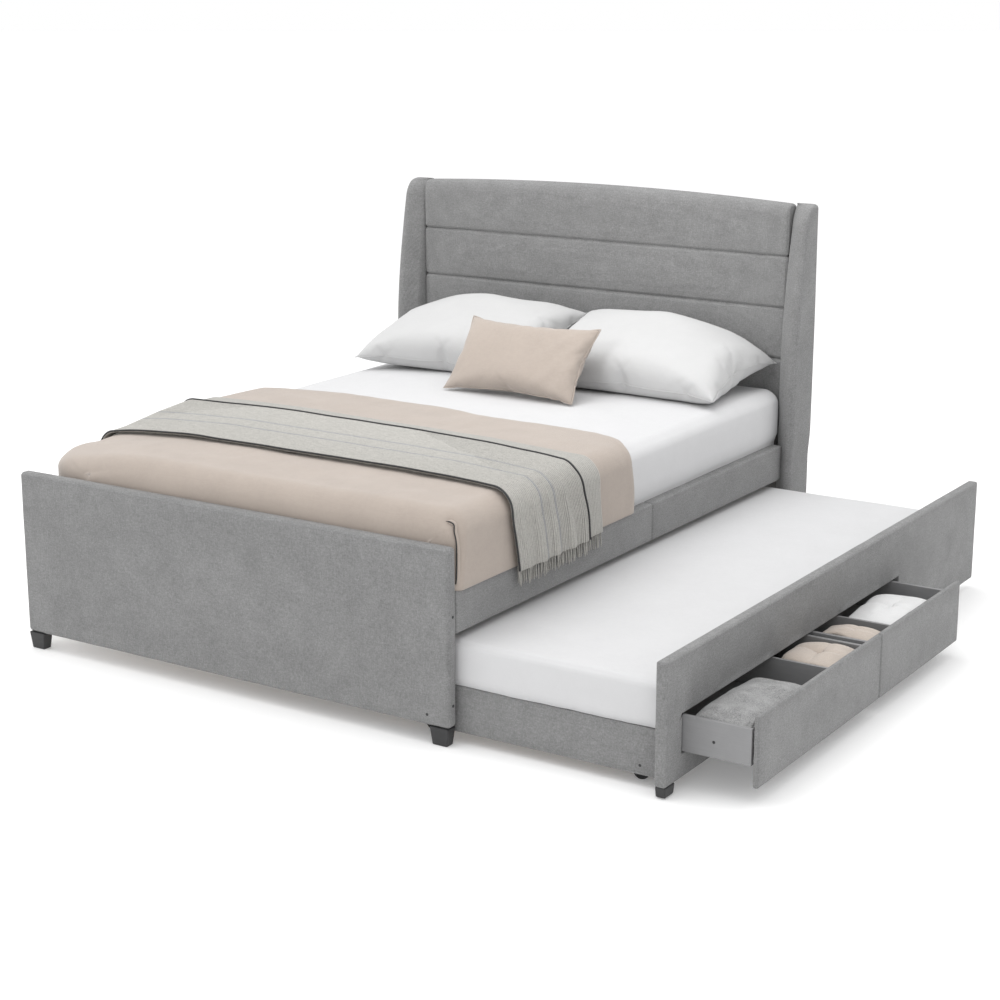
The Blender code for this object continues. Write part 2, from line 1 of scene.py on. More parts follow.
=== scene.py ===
"""Looks of the upholstered trundle bed: fabric, bedding, drawers, studio."""

import math

import bmesh
import bpy
import numpy as np
from mathutils import Matrix, Vector, noise


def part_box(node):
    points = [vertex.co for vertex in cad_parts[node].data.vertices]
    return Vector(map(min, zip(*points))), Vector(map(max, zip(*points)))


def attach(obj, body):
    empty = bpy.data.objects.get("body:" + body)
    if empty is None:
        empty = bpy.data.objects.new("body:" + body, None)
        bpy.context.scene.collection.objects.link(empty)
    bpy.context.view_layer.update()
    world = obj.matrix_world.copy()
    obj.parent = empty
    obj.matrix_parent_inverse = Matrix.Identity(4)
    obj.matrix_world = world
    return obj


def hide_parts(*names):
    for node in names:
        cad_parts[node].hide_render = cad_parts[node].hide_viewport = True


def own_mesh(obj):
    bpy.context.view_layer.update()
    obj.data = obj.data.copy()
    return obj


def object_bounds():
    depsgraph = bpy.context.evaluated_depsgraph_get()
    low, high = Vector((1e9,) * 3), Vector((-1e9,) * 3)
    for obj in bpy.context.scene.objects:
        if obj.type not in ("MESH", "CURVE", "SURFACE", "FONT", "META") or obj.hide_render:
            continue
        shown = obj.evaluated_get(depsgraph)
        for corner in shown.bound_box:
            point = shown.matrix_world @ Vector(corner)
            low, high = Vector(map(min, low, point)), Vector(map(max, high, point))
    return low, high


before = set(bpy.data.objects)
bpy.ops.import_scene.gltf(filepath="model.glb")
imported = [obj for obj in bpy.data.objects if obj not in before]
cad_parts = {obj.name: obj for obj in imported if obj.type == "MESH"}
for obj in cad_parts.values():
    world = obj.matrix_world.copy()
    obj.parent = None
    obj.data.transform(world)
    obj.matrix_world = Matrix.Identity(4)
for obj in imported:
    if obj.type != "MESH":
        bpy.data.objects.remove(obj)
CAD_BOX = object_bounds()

# Thicknesses and softness of the upholstery, metres
BOARD_RADIUS = 0.0065
BOARD_CROWN = 0.0012
BOARD_STEP = 0.022
BOARD_RIPPLE = 0.0006
BOARD_RIPPLE_SIZE = 0.11
FOOTBOARD_RADIUS = 0.013
PAD_RADIUS = 0.012
PAD_CROWN = 0.0060
PAD_TOP_ROLL = 0.034
WING_TOP_ROLL = 0.062
WING_BACK_ROLL = 0.014
WING_FACE = ((0.25, 0.65), (0.70, 0.05))
WING_DEPTHS = (0.110, 0.157)
WING_CURVE_START = 0.750
WING_TOP_SETBACK = 0.075
WING_LEAN = 1.5
WING_TOP_NARROWING = 0.002
WING_OUT_LOW = -0.003   # clear of the trundle's panel when it closes
WING_OUT_HIGH = 0.004
FRONT_ROOM = 0.0045   # behind a drawer front, for the padding it closes on
OPENING_ROOM = 0.005
OPENING_FAR_ROOM = 0.040

# Bedding, metres
MATTRESS_RADIUS = 0.042
MATTRESS_BULGE = 0.014
BLANKET_ROLL = 0.058
BLANKET_FOOT_ROLL = 0.046
BLANKET_CLOTH = 0.010
BLANKET_STEP = 0.014
SIDE_ROOM = 0.0005
SOFT_REACH = 0.02   # how gently a pillow flattens where it rests
THROW_CLOTH = 0.0055
THROW_FRINGE = 0.050
FOOT_CORNER = 0.220
# how far the bedding's left side has slumped: place along the bed from the footboard, drop
LEFT_SLUMP = ((0.0, 0.040), (0.20, 0.045), (0.30, 0.050), (0.46, 0.042), (0.63, 0.022),
              (0.80, 0.010), (1.00, 0.014), (1.25, 0.022), (2.2, 0.022))
# distance walked from the bed's middle, and place along the bed from the blanket's foot
BLANKET_HEAD_RIGHT = ((0, 1.086), (0.20, 1.047), (0.33, 1.045), (0.51, 1.053), (0.63, 1.031), (0.70, 1.004),
                      (0.77, 0.950), (0.82, 0.938), (0.87, 0.953), (0.92, 0.960), (1.1, 0.948))
BLANKET_HEAD_LEFT = ((0, 1.086), (0.70, 1.090), (0.80, 1.050), (1.1, 1.040))
# how far in from the blanket's side and from its foot, and height
FOOT_FOLD = ((0.042, 0.014, 0.622), (0.032, 0.013, 0.629), (0.022, 0.012, 0.630), (0.014, 0.012, 0.618),
             (0.008, 0.010, 0.596), (0.003, 0.008, 0.566), (0.000, 0.004, 0.505), (0.000, 0.000, 0.440),
             (0.000, -0.004, 0.388))
FOOT_LIP = 0.0055
# the throw's edges: distance walked from the bed's middle, and place from the footboard's outer face
THROW_NEAR_LEFT = ((0, 0.338), (0.30, 0.336), (0.50, 0.350), (0.70, 0.385), (1.1, 0.400))
THROW_FAR_LEFT = ((0, 0.765), (0.30, 0.770), (0.70, 0.770), (1.1, 0.780))
THROW_UNDER_FAR_LEFT = ((0, 0.855), (0.70, 0.880), (1.1, 0.880))
THROW_NEAR = ((0, 0.338), (0.43, 0.338), (0.58, 0.328), (0.70, 0.312), (0.79, 0.293), (0.86, 0.285),
              (0.94, 0.307), (1.1, 0.338))
THROW_FAR = ((0, 0.765), (0.20, 0.760), (0.50, 0.728), (0.65, 0.700), (0.74, 0.676), (0.80, 0.656),
             (0.86, 0.668), (0.94, 0.700), (1.1, 0.716))
THROW_UNDER_FAR = ((0, 0.855), (0.40, 0.835), (0.65, 0.800), (0.80, 0.782), (0.88, 0.788), (1.1, 0.818))
# the hanging throw's folds: place and width as shares of its width, height in metres
THROW_FOLDS = ((0.10, 0.040, 0.004), (0.30, 0.045, 0.009), (0.50, 0.040, 0.007), (0.72, 0.045, 0.010),
               (0.92, 0.040, 0.004))
THROW_UNDER_LIFT = 0.0092   # above the blanket's CAD top
THROW_UPPER_LIFT = THROW_CLOTH + 0.0126
THROW_UNDER_CLOTH = 0.0045
THROW_RIB = 0.0092
# radius of the dark cords of painted shade along the throw's edges
THROW_SHADE_CORD = 0.0032
# stripes: where each starts as a share of the throw's width, and one stripe's ramp of brightness
THROW_STRIPES_OVER = 0.44
THROW_STRIPES = (0.36, 0.55)
STRIPE = ((0.0, 0), (0.012, 1), (0.030, 1), (0.042, 0))
STRAND = 0.0046
STRAND_PITCH = 0.0120
TOWEL_RISE = 0.022   # how far the towels swell above their drawer
TOWEL_LAYERS = 4
PILLOW_SIZE = (0.745, 0.475, 0.200)
PILLOW_TILT = math.radians(21)
PILLOW_DROOP = 0.125   # of its outer back corner
CUSHION_SIZE = (0.520, 0.300, 0.120)
CUSHION_SHIFT = (-0.022, 0.004, -0.012)
CUSHION_TILT = math.radians(50)
CUSHION_HALF = (0.265, 0.155)   # half of its sewn outline
ON_MATTRESS = 0.002
TRUNDLE_ROUND = 0.026   # the trundle mattress's edges
SHEET_END = 0.0225   # how far in the sheet's hanging ends reach, past the slat deck
WHEEL_HALF = 0.009
SIM_FRAMES = 10
SIM_PRESSURE = 4.0

# Camera: the place and angle the object is looked at from
CAMERA_PLACE = (3.3681, -5.4976, 2.1076)
CAMERA_PITCH = 14.778
CAMERA_YAW = 32.788
CAMERA_LENS = 74.17


def srgb(red, green, blue):
    shares = [value / 255 for value in (red, green, blue)]
    return tuple(s / 12.92 if s <= 0.04045 else ((s + 0.055) / 1.055) ** 2.4 for s in shares)


def grey(level):
    return srgb(level, level, level)


def scaled(colour, share):
    return tuple(min(1.0, value * share) for value in colour)


# ---------------------------------------------------------------- materials

def new_look(name, roughness, **sockets):
    look = bpy.data.materials.new(name)
    look.use_nodes = True
    shader = look.node_tree.nodes["Principled BSDF"]
    shader.inputs["Roughness"].default_value = roughness
    for socket, value in sockets.items():
        shader.inputs[socket.replace("_", " ")].default_value = value
    return look


def node(look, kind, inputs=None, **settings):
    made = look.node_tree.nodes.new(kind)
    for key, value in settings.items():
        setattr(made, key, value)
    for key, value in (inputs or {}).items():
        if isinstance(value, bpy.types.NodeSocket):
            look.node_tree.links.new(value, made.inputs[key])
        else:
            made.inputs[key].default_value = value
    return made


def sums(look, operation, first, second):
    return node(look, "ShaderNodeMath", {0: first, 1: second}, operation=operation).outputs[0]


def weighted(look, *parts):
    """The sum of (output, weight) parts."""
    total = None
    for value, weight in parts:
        part = sums(look, "MULTIPLY", value, weight)
        total = part if total is None else sums(look, "ADD", total, part)
    return total


def cloud(look, size, detail=3.0, roughness=0.55, place=None, distortion=0.0):
    """Noise whose features are about size metres across, or one number per axis."""
    scale = tuple(1 / s for s in size) if hasattr(size, "__len__") else (1 / size,) * 3
    if place is None:
        place = node(look, "ShaderNodeTexCoord").outputs["Object"]
    place = node(look, "ShaderNodeMapping", {"Vector": place, "Scale": scale}).outputs[0]
    inputs = {"Vector": place, "Scale": 1.0, "Detail": detail, "Roughness": roughness,
              "Distortion": distortion}
    return node(look, "ShaderNodeTexNoise", inputs).outputs["Fac"]


def tones(look, factor, *stops):
    """A ramp from (share, colour) stops."""
    ramp = node(look, "ShaderNodeValToRGB", {"Fac": factor})
    marks = ramp.color_ramp.elements
    while len(marks) < len(stops):
        marks.new(0.5)
    for mark, (share, colour) in zip(marks, stops):
        mark.position = share
        mark.color = (*colour, 1)
    return ramp.outputs["Color"]


def shades(look, factor, colour, dark, light, reach=0.18):
    """A colour with a darker and a lighter shade of it, reach below and above the middle of factor."""
    return tones(look, factor, (0.5 - reach, scaled(colour, dark)), (0.5, colour),
                 (0.5 + reach, scaled(colour, light)))


def set_input(look, socket, value):
    look.node_tree.links.new(value, look.node_tree.nodes["Principled BSDF"].inputs[socket])


def bump(look, height, distance, strength=1.0):
    made = node(look, "ShaderNodeBump", {"Height": height, "Distance": distance, "Strength": strength})
    set_input(look, "Normal", made.outputs["Normal"])


def sine(look, value, pitch):
    turned = sums(look, "MULTIPLY", value, 2 * math.pi / pitch)
    return node(look, "ShaderNodeMath", {0: turned}, operation="SINE").outputs[0]


def plain_weave(look, pitch):
    """Crossed threads that read on a face along any two axes, from -1 to 1."""
    place = node(look, "ShaderNodeTexCoord").outputs["Object"]
    parts = node(look, "ShaderNodeSeparateXYZ", {0: place}).outputs
    threads = [sine(look, parts[axis], pitch) for axis in range(3)]
    pairs = [sums(look, "MULTIPLY", threads[a], threads[b]) for a, b in ((0, 1), (1, 2), (2, 0))]
    return sums(look, "ADD", sums(look, "ADD", pairs[0], pairs[1]), pairs[2])


def thread_mix(look, fine, length, blotch):
    """Warp, weft and blotch noise together, about 0 to 1."""
    warp = cloud(look, (fine, fine, length), 2.0)
    weft = cloud(look, (length, length, fine), 2.0)
    mottle = cloud(look, blotch, 4.0, 0.62)
    return weighted(look, (sums(look, "ADD", warp, weft), 0.30), (mottle, 0.40))


def linen_look():
    """Grey woven upholstery with a short fuzz."""
    look = new_look("grey_linen", 0.95, Sheen_Weight=0.2, Sheen_Roughness=0.5,
                    Specular_IOR_Level=0.2)
    fuzz = cloud(look, 0.0042, roughness=0.7)
    streaks = sums(look, "ADD", cloud(look, (0.0022, 0.0022, 0.016), 2.0),
                   cloud(look, (0.016, 0.016, 0.0022), 2.0))
    haze = cloud(look, 0.07)
    mix = weighted(look, (fuzz, 0.46), (streaks, 0.20), (haze, 0.14))
    set_input(look, "Base Color", shades(look, mix, grey(132), 0.70, 1.34, 0.14))
    bump(look, weighted(look, (plain_weave(look, 0.0026), 0.25), (mix, 1.6)), 0.0011, 0.9)
    return look


def cotton_look(name, colour, blotch=0.05):
    look = new_look(name, 0.85, Sheen_Weight=0.1, Sheen_Roughness=0.4, Specular_IOR_Level=0.2)
    mix = thread_mix(look, 0.0011, 0.015, blotch)
    set_input(look, "Base Color", shades(look, mix, colour, 0.97, 1.03, 0.20))
    bump(look, sums(look, "ADD", weighted(look, (plain_weave(look, 0.0020), 0.25)), mix), 0.0003, 0.7)
    return look


def brushed_look(name, colour):
    """Beige cotton with a soft brushed nap and faint cloudy shading."""
    look = new_look(name, 0.92, Sheen_Weight=0.35, Sheen_Roughness=0.45, Specular_IOR_Level=0.15)
    mix = weighted(look, (thread_mix(look, 0.0016, 0.020, 0.012), 0.6), (cloud(look, 0.13), 0.4))
    set_input(look, "Base Color", shades(look, mix, colour, 0.91, 1.07))
    bump(look, sums(look, "ADD", mix, weighted(look, (plain_weave(look, 0.003), 0.2))), 0.0006, 0.7)
    return look


def cloth_place(look):
    """Metres across and along a cut cloth, kept on its mesh."""
    return node(look, "ShaderNodeAttribute", attribute_name="cloth_metres").outputs["Vector"]


def throw_look():
    """Warm grey woven throw: ribs along it, and two faint stripes near its middle."""
    look = new_look("ribbed_throw", 0.95, Sheen_Weight=0.2, Sheen_Roughness=0.5,
                    Specular_IOR_Level=0.15)
    place = cloth_place(look)
    across = node(look, "ShaderNodeSeparateXYZ", {0: place}).outputs[0]
    rib = sine(look, across, THROW_RIB)
    slub = cloud(look, (0.0030, 0.030, 0.05), 3.0, 0.65, place)
    speck = cloud(look, (0.0032, 0.0050, 0.01), 2.0, 0.6, place)
    mix = weighted(look, (slub, 0.50), (speck, 0.50), (rib, 0.060))
    plain, blue = (tones(look, mix, (0.36, scaled(colour, 0.76)), (0.50, colour),
                         (0.66, scaled(colour, 1.22)))
                   for colour in (srgb(166, 164, 159), srgb(147, 148, 149)))
    share = sums(look, "DIVIDE", across, THROW_STRIPES_OVER)
    stops = [(0.0, (0, 0, 0))]
    for start in THROW_STRIPES:
        stops += [(start + ahead, (level,) * 3) for ahead, level in STRIPE]
    stripe = tones(look, share, *stops, (1.0, (0, 0, 0)))
    made = node(look, "ShaderNodeMix", data_type="RGBA")
    sockets = [socket for socket in made.inputs if socket.type == "RGBA"]
    look.node_tree.links.new(stripe, made.inputs[0])
    look.node_tree.links.new(plain, sockets[0])
    look.node_tree.links.new(blue, sockets[1])
    set_input(look, "Base Color", [out for out in made.outputs if out.type == "RGBA"][0])
    bump(look, sums(look, "ADD", mix, weighted(look, (rib, 0.30))), 0.0016)
    return look


def terry_look(name, colour, contrast):
    look = new_look(name, 1.0, Sheen_Weight=0.4, Sheen_Roughness=0.6, Specular_IOR_Level=0.1)
    loops = cloud(look, 0.0032, roughness=0.7)
    mix = weighted(look, (loops, 0.7), (cloud(look, 0.03), 0.3))
    set_input(look, "Base Color", shades(look, mix, colour, 1 - contrast, 1 + contrast))
    bump(look, loops, 0.0022, 0.9)
    return look


def board_look():
    colour = srgb(138, 138, 139)
    look = new_look("painted_board", 0.5, Specular_IOR_Level=0.4)
    grain = cloud(look, (0.09, 0.0025, 0.0025))
    haze = cloud(look, 0.05)
    mix = weighted(look, (grain, 0.4), (haze, 0.6))
    set_input(look, "Base Color", tones(look, mix, (0.3, scaled(colour, 0.93)), (0.7, scaled(colour, 1.06))))
    set_input(look, "Roughness", tones(look, haze, (0.3, (0.42,) * 3), (0.7, (0.58,) * 3)))
    bump(look, grain, 0.0002, 0.5)
    return look


def timber_look():
    look = new_look("slat_timber", 0.6)
    grain = cloud(look, (0.20, 0.006, 0.004), 4.0, 0.6, distortion=0.6)
    set_input(look, "Base Color", tones(look, grain, (0.30, srgb(172, 132, 88)), (0.52, srgb(205, 170, 122)),
                                        (0.74, srgb(222, 190, 145))))
    bump(look, grain, 0.0003, 0.5)
    return look


def dark_look(name, level, roughness, metallic=0.0):
    """Moulded black plastic, rubber or painted steel, with a fine texture; also dark bars of painted shade.
    """
    look = new_look(name, roughness, Metallic=metallic)
    texture = cloud(look, 0.0015)
    wide = cloud(look, 0.03, 2.0)
    colour = srgb(level, level, level + 1)
    set_input(look, "Base Color", tones(look, wide, (0.3, scaled(colour, 0.85)), (0.7, scaled(colour, 1.2))))
    set_input(look, "Roughness", tones(look, texture, (0.3, (roughness * 0.85,) * 3),
                                       (0.7, (min(1.0, roughness * 1.15),) * 3)))
    bump(look, texture, 0.0002, 0.5)
    return look


def floor_look():
    look = new_look("pale_floor", 0.7, Specular_IOR_Level=0.1, Emission_Strength=0.16,
                    Emission_Color=(1, 1, 1, 1))
    haze = cloud(look, 0.8, 2.0)
    set_input(look, "Base Color", tones(look, haze, (0.2, (0.86, 0.86, 0.86)), (0.8, (0.88, 0.88, 0.88))))
    return look


def make_looks():
    return {
        "linen": linen_look(),
        "white": cotton_look("white_cotton", grey(194)),
        "sheet": cotton_look("white_sheet", srgb(204, 204, 205), blotch=0.09),
        "beige": brushed_look("beige_blanket", srgb(169, 158, 149)),
        "cushion": brushed_look("beige_cushion", srgb(171, 160, 151)),
        "throw": throw_look(),
        "grey_towel": terry_look("grey_terry", grey(143), 0.60),
        "beige_towel": terry_look("beige_terry", srgb(192, 180, 169), 0.07),
        "white_towel": terry_look("white_terry", grey(224), 0.06),
        "board": board_look(),
        "timber": timber_look(),
        "plastic": dark_look("black_plastic", 44, 0.45),
        "rubber": dark_look("wheel_rubber", 38, 0.75),
        "steel": dark_look("black_steel", 52, 0.4, 0.8),
        # dark bars of painted shade: the lines along the throw's edges and along the blanket's fold
        "painted_shade_lines": dark_look("throw_painted_shade_lines", 54, 0.9),
    }


# ---------------------------------------------------------------- mesh helpers

def link(name, data):
    made = bpy.data.objects.new(name, data)
    bpy.context.scene.collection.objects.link(made)
    return made


def add_mesh(name, points, faces, look):
    mesh = bpy.data.meshes.new(name)
    mesh.from_pydata([tuple(map(float, p)) for p in points], [], [list(map(int, f)) for f in faces])
    mesh.materials.append(look)
    mesh.shade_smooth()
    return link(name, mesh)


def points_of(made):
    return np.array([vertex.co for vertex in made.data.vertices])


def set_points(made, points):
    made.data.vertices.foreach_set("co", points.astype(np.float32).ravel())
    made.data.update()


def keep_metres(made, flat):
    """Keeps each point's place on the cut cloth, for the weave to follow."""
    store = made.data.attributes.new("cloth_metres", "FLOAT_VECTOR", "POINT")
    store.data.foreach_set("vector", flat.astype(np.float32).ravel())


def on_body(made, body, slot, *stands_for):
    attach(made, body)
    if stands_for:
        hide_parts(*stands_for)
    return made


def modifier(made, kind, **settings):
    step = made.modifiers.new(kind.lower(), kind)
    for key, value in settings.items():
        setattr(step, key, value)
    return step


def apply_modifiers(made):
    bpy.context.view_layer.update()
    graph = bpy.context.evaluated_depsgraph_get()
    mesh = bpy.data.meshes.new_from_object(made.evaluated_get(graph), depsgraph=graph)
    made.modifiers.clear()
    made.data = mesh
    return made


def waves(points, size, amount, seed=0.0):
    """Smooth noise for each point, from about -amount to amount."""
    sizes = size if hasattr(size, "__len__") else (size,) * 3
    shifted = np.asarray(points) / np.array(sizes) + seed
    return np.array([noise.noise(Vector(p)) for p in shifted]) * amount


def spread(low, high, radius, step, steps=4):
    """Grid lines along one side of a rounded block: close together in its rounded ends."""
    ends = [radius * (1 - math.tan(math.radians(45 * (1 - i / steps)))) for i in range(steps + 1)]
    inner = high - low - 2 * radius
    count = max(1, round(inner / step))
    middle = [low + radius + inner * i / count for i in range(1, count)]
    return [low + e for e in ends] + middle + [high - e for e in reversed(ends)]


def block_skin(low, high, radius, step, steps=4):
    """Points, outward directions, shares from -1 to 1 and faces of a rounded block."""
    low, high = np.array(low, float), np.array(high, float)
    radius = min(radius, 0.49 * float((high - low).min()))
    lines = [spread(low[a], high[a], radius, step, steps) for a in range(3)]
    counts = [len(line) - 1 for line in lines]
    index, faces = {}, []
    for axis in range(3):
        b, c = (axis + 1) % 3, (axis + 2) % 3
        for side in (0, counts[axis]):
            for i in range(counts[b]):
                for j in range(counts[c]):
                    ring = []
                    for di, dj in ((0, 0), (1, 0), (1, 1), (0, 1)):
                        key = [0, 0, 0]
                        key[axis], key[b], key[c] = side, i + di, j + dj
                        ring.append(index.setdefault(tuple(key), len(index)))
                    faces.append(ring if side else ring[::-1])
    raw = np.array([[lines[a][key[a]] for a in range(3)] for key in index])
    heart = np.clip(raw, low + radius, high - radius)
    away = raw - heart
    away /= np.linalg.norm(away, axis=1)[:, None]
    shares = (2 * raw - low - high) / (high - low)
    return heart + away * radius, away, shares, faces


def crown(away, shares, amount):
    """How far each point of a block stands out, so that its faces swell in the middle."""
    fall = 1 - shares ** 2
    out = np.zeros(len(shares))
    for axis in range(3):
        b, c = (axis + 1) % 3, (axis + 2) % 3
        out += np.abs(away[:, axis]) * np.sqrt(np.clip(fall[:, b] * fall[:, c], 0, 1))
    return out * amount


def upholstered(node_name, body, looks, radius=BOARD_RADIUS, swell=BOARD_CROWN, room=0.0):
    """A padded board in the place of a CAD board, with room left behind it for what it closes on."""
    low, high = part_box(node_name)
    low = Vector(low) + Vector((room, 0, 0))
    points, away, shares, faces = block_skin(low, high, radius, BOARD_STEP)
    ripple = waves(points, BOARD_RIPPLE_SIZE, BOARD_RIPPLE, low.x + low.y)
    out = crown(away, shares, swell) + ripple - BOARD_RIPPLE * 0.5
    made = add_mesh(f"{node_name}_cover", points + away * out[:, None], faces, looks["linen"])
    on_body(made, body, "upholstery", node_name)


def rolled_in(above, radius):
    """How far a rounded edge has drawn in, at heights above the start of its rounding."""
    over = np.clip(above / radius, 0, 1)
    return radius * (1 - np.sqrt(1 - over ** 2))


def fillet(corners, reaches, steps=5):
    """A polygon with each corner rounded: reach is how far along its sides the rounding starts."""
    count, out = len(corners), []
    for i in range(count):
        here = np.array(corners[i])
        before, after = np.array(corners[i - 1]), np.array(corners[(i + 1) % count])
        to, on = before - here, after - here
        start = here + to * min(0.48, reaches[i] / np.linalg.norm(to))
        end = here + on * min(0.48, reaches[i] / np.linalg.norm(on))
        for k in range(steps + 1):
            t = k / steps
            out.append((1 - t) ** 2 * start + 2 * t * (1 - t) * here + t * t * end)
    return out


def loft_faces(rings, size):
    """Faces between rings of size points each, with a cap on both ends."""
    faces = []
    for r in range(rings - 1):
        for i in range(size):
            j = (i + 1) % size
            faces.append((r * size + i, r * size + j, (r + 1) * size + j, (r + 1) * size + i))
    faces.append(tuple(reversed(range(size))))
    faces.append(tuple((rings - 1) * size + i for i in range(size)))
    return faces


def outward(made):
    form = bmesh.new()
    form.from_mesh(made.data)
    bmesh.ops.recalc_face_normals(form, faces=form.faces)
    form.to_mesh(made.data)
    form.free()
    return made


def cloth_shell(name, grid, metres, thickness, look):
    """A sheet of real thickness from a grid of its outer face, with a rounded edge all round."""
    rows, columns = grid.shape[:2]
    along, across = np.gradient(grid, axis=0), np.gradient(grid, axis=1)
    face = np.cross(along, across)
    face /= np.linalg.norm(face, axis=2)[:, :, None]
    count = rows * columns
    index = np.arange(count).reshape(rows, columns)
    points = [grid.reshape(-1, 3), (grid - face * thickness).reshape(-1, 3)]
    places = [metres.reshape(-1, 2)] * 2
    a, b, c, d = index[:-1, :-1], index[1:, :-1], index[1:, 1:], index[:-1, 1:]
    quads = np.stack([a, b, c, d], axis=-1).reshape(-1, 4)
    faces = [quads, quads[:, ::-1] + count]
    rim = [(0, j) for j in range(columns - 1)] + [(i, columns - 1) for i in range(rows - 1)]
    rim += [(rows - 1, j) for j in range(columns - 1, 0, -1)]
    rim += [(i, 0) for i in range(rows - 1, 0, -1)]
    edge = np.array([index[i, j] for i, j in rim])
    out = np.zeros((len(rim), 3))
    for k, (i, j) in enumerate(rim):
        if i == 0:
            out[k] -= along[i, j] / np.linalg.norm(along[i, j])
        if i == rows - 1:
            out[k] += along[i, j] / np.linalg.norm(along[i, j])
        if j == 0:
            out[k] -= across[i, j] / np.linalg.norm(across[i, j])
        if j == columns - 1:
            out[k] += across[i, j] / np.linalg.norm(across[i, j])
    out /= np.linalg.norm(out, axis=1)[:, None]
    flat_face = face.reshape(-1, 3)[edge]
    middle = points[0][edge] - flat_face * thickness / 2
    previous = edge
    total = 2 * count
    for degrees in (45, 90, 135):
        turn = math.radians(degrees)
        ring = middle + (flat_face * math.cos(turn) + out * math.sin(turn)) * thickness / 2
        points.append(ring)
        places.append(metres.reshape(-1, 2)[edge])
        new = total + np.arange(len(rim))
        faces.append(np.stack([previous, np.roll(previous, -1), np.roll(new, -1), new], axis=-1))
        previous = new
        total += len(rim)
    last = edge + count
    faces.append(np.stack([previous, np.roll(previous, -1), np.roll(last, -1), last], axis=-1))
    made = add_mesh(name, np.concatenate(points), np.concatenate(faces), look)
    flat = np.concatenate(places)
    keep_metres(made, np.hstack([flat, np.zeros((len(flat), 1))]))
    return outward(made)


def tube(points, radii, sides=6):
    """Points and faces of a round bar along points."""
    points = np.array(points, float)
    ahead = np.gradient(points, axis=0)
    ahead /= np.linalg.norm(ahead, axis=1)[:, None]
    rings = []
    for p, d, r in zip(points, ahead, radii):
        side = np.cross(d, (0.31, 0.95, 0.07) if abs(d[1]) < 0.9 else (1.0, 0.0, 0.0))
        side /= np.linalg.norm(side)
        up = np.cross(d, side)
        for k in range(sides):
            turn = 2 * math.pi * k / sides
            rings.append(p + (side * math.cos(turn) + up * math.sin(turn)) * r)
    return rings, loft_faces(len(points), sides)


def gather(parts):
    """Several (points, faces) as one."""
    points, faces = [], []
    for some_points, some_faces in parts:
        start = len(points)
        points += [tuple(p) for p in some_points]
        faces += [tuple(i + start for i in face) for face in some_faces]
    return points, faces


def soften(name, look, width=0.0):
    """A CAD node that stays: its material, and edges softened by width."""
    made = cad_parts[name]
    made.data.materials.clear()
    made.data.materials.append(look)
    if width:
        modifier(made, "BEVEL", width=width, segments=2, limit_method="ANGLE",
                 angle_limit=math.radians(35), harden_normals=False)
    made.data.shade_smooth()
    made.data.set_sharp_from_angle(angle=math.radians(50))
    return made


# ---------------------------------------------------------------- headboard

def channel_pads(looks):
    """Four padded channels: each swells, and is drawn in along its seams."""
    for i in range(1, 5):
        name = f"headboard_channel_{i}"
        low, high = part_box(name)
        first = i == 1
        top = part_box("headboard_wing_right")[1].z if first else high.z
        rise = high.z - top
        points, away, shares, faces = block_skin((low.x, low.y + 0.004, low.z), (high.x, high.y, top),
                                                 PAD_RADIUS, 0.014, 5)
        swell = crown(away, shares, PAD_CROWN) * np.clip(-away[:, 1] + 0.1, 0, 1)
        seam = points[:, 2] - low.z
        if not first:
            seam = np.minimum(seam, top - points[:, 2])
        pucker = np.exp(-seam / 0.022) * waves(points * (1, 0, 1), (0.028, 1, 0.10), 0.0022, i * 3.7)
        pucker += waves(points, (0.16, 1, 0.09), 0.0012, i * 1.3)
        out = swell + pucker * np.clip(-away[:, 1], 0, 1)
        points = points + away * out[:, None]
        if first:
            half_depth = (high.y - low.y) / 2
            share = 1 - rolled_in(points[:, 2] - (top - PAD_TOP_ROLL), PAD_TOP_ROLL) / half_depth
            middle = (low.y + high.y) / 2
            points[:, 1] = middle + (points[:, 1] - middle) * share
            lift = np.clip((points[:, 2] - low.z) / (top - low.z), 0, 1) ** 2
            across = 2 * (points[:, 0] - low.x) / (high.x - low.x) - 1
            points[:, 2] += rise * (1 - across ** 2) * lift
        made = add_mesh(f"{name}_pad", points, faces, looks["linen"])
        on_body(made, "bed", "upholstery", name)


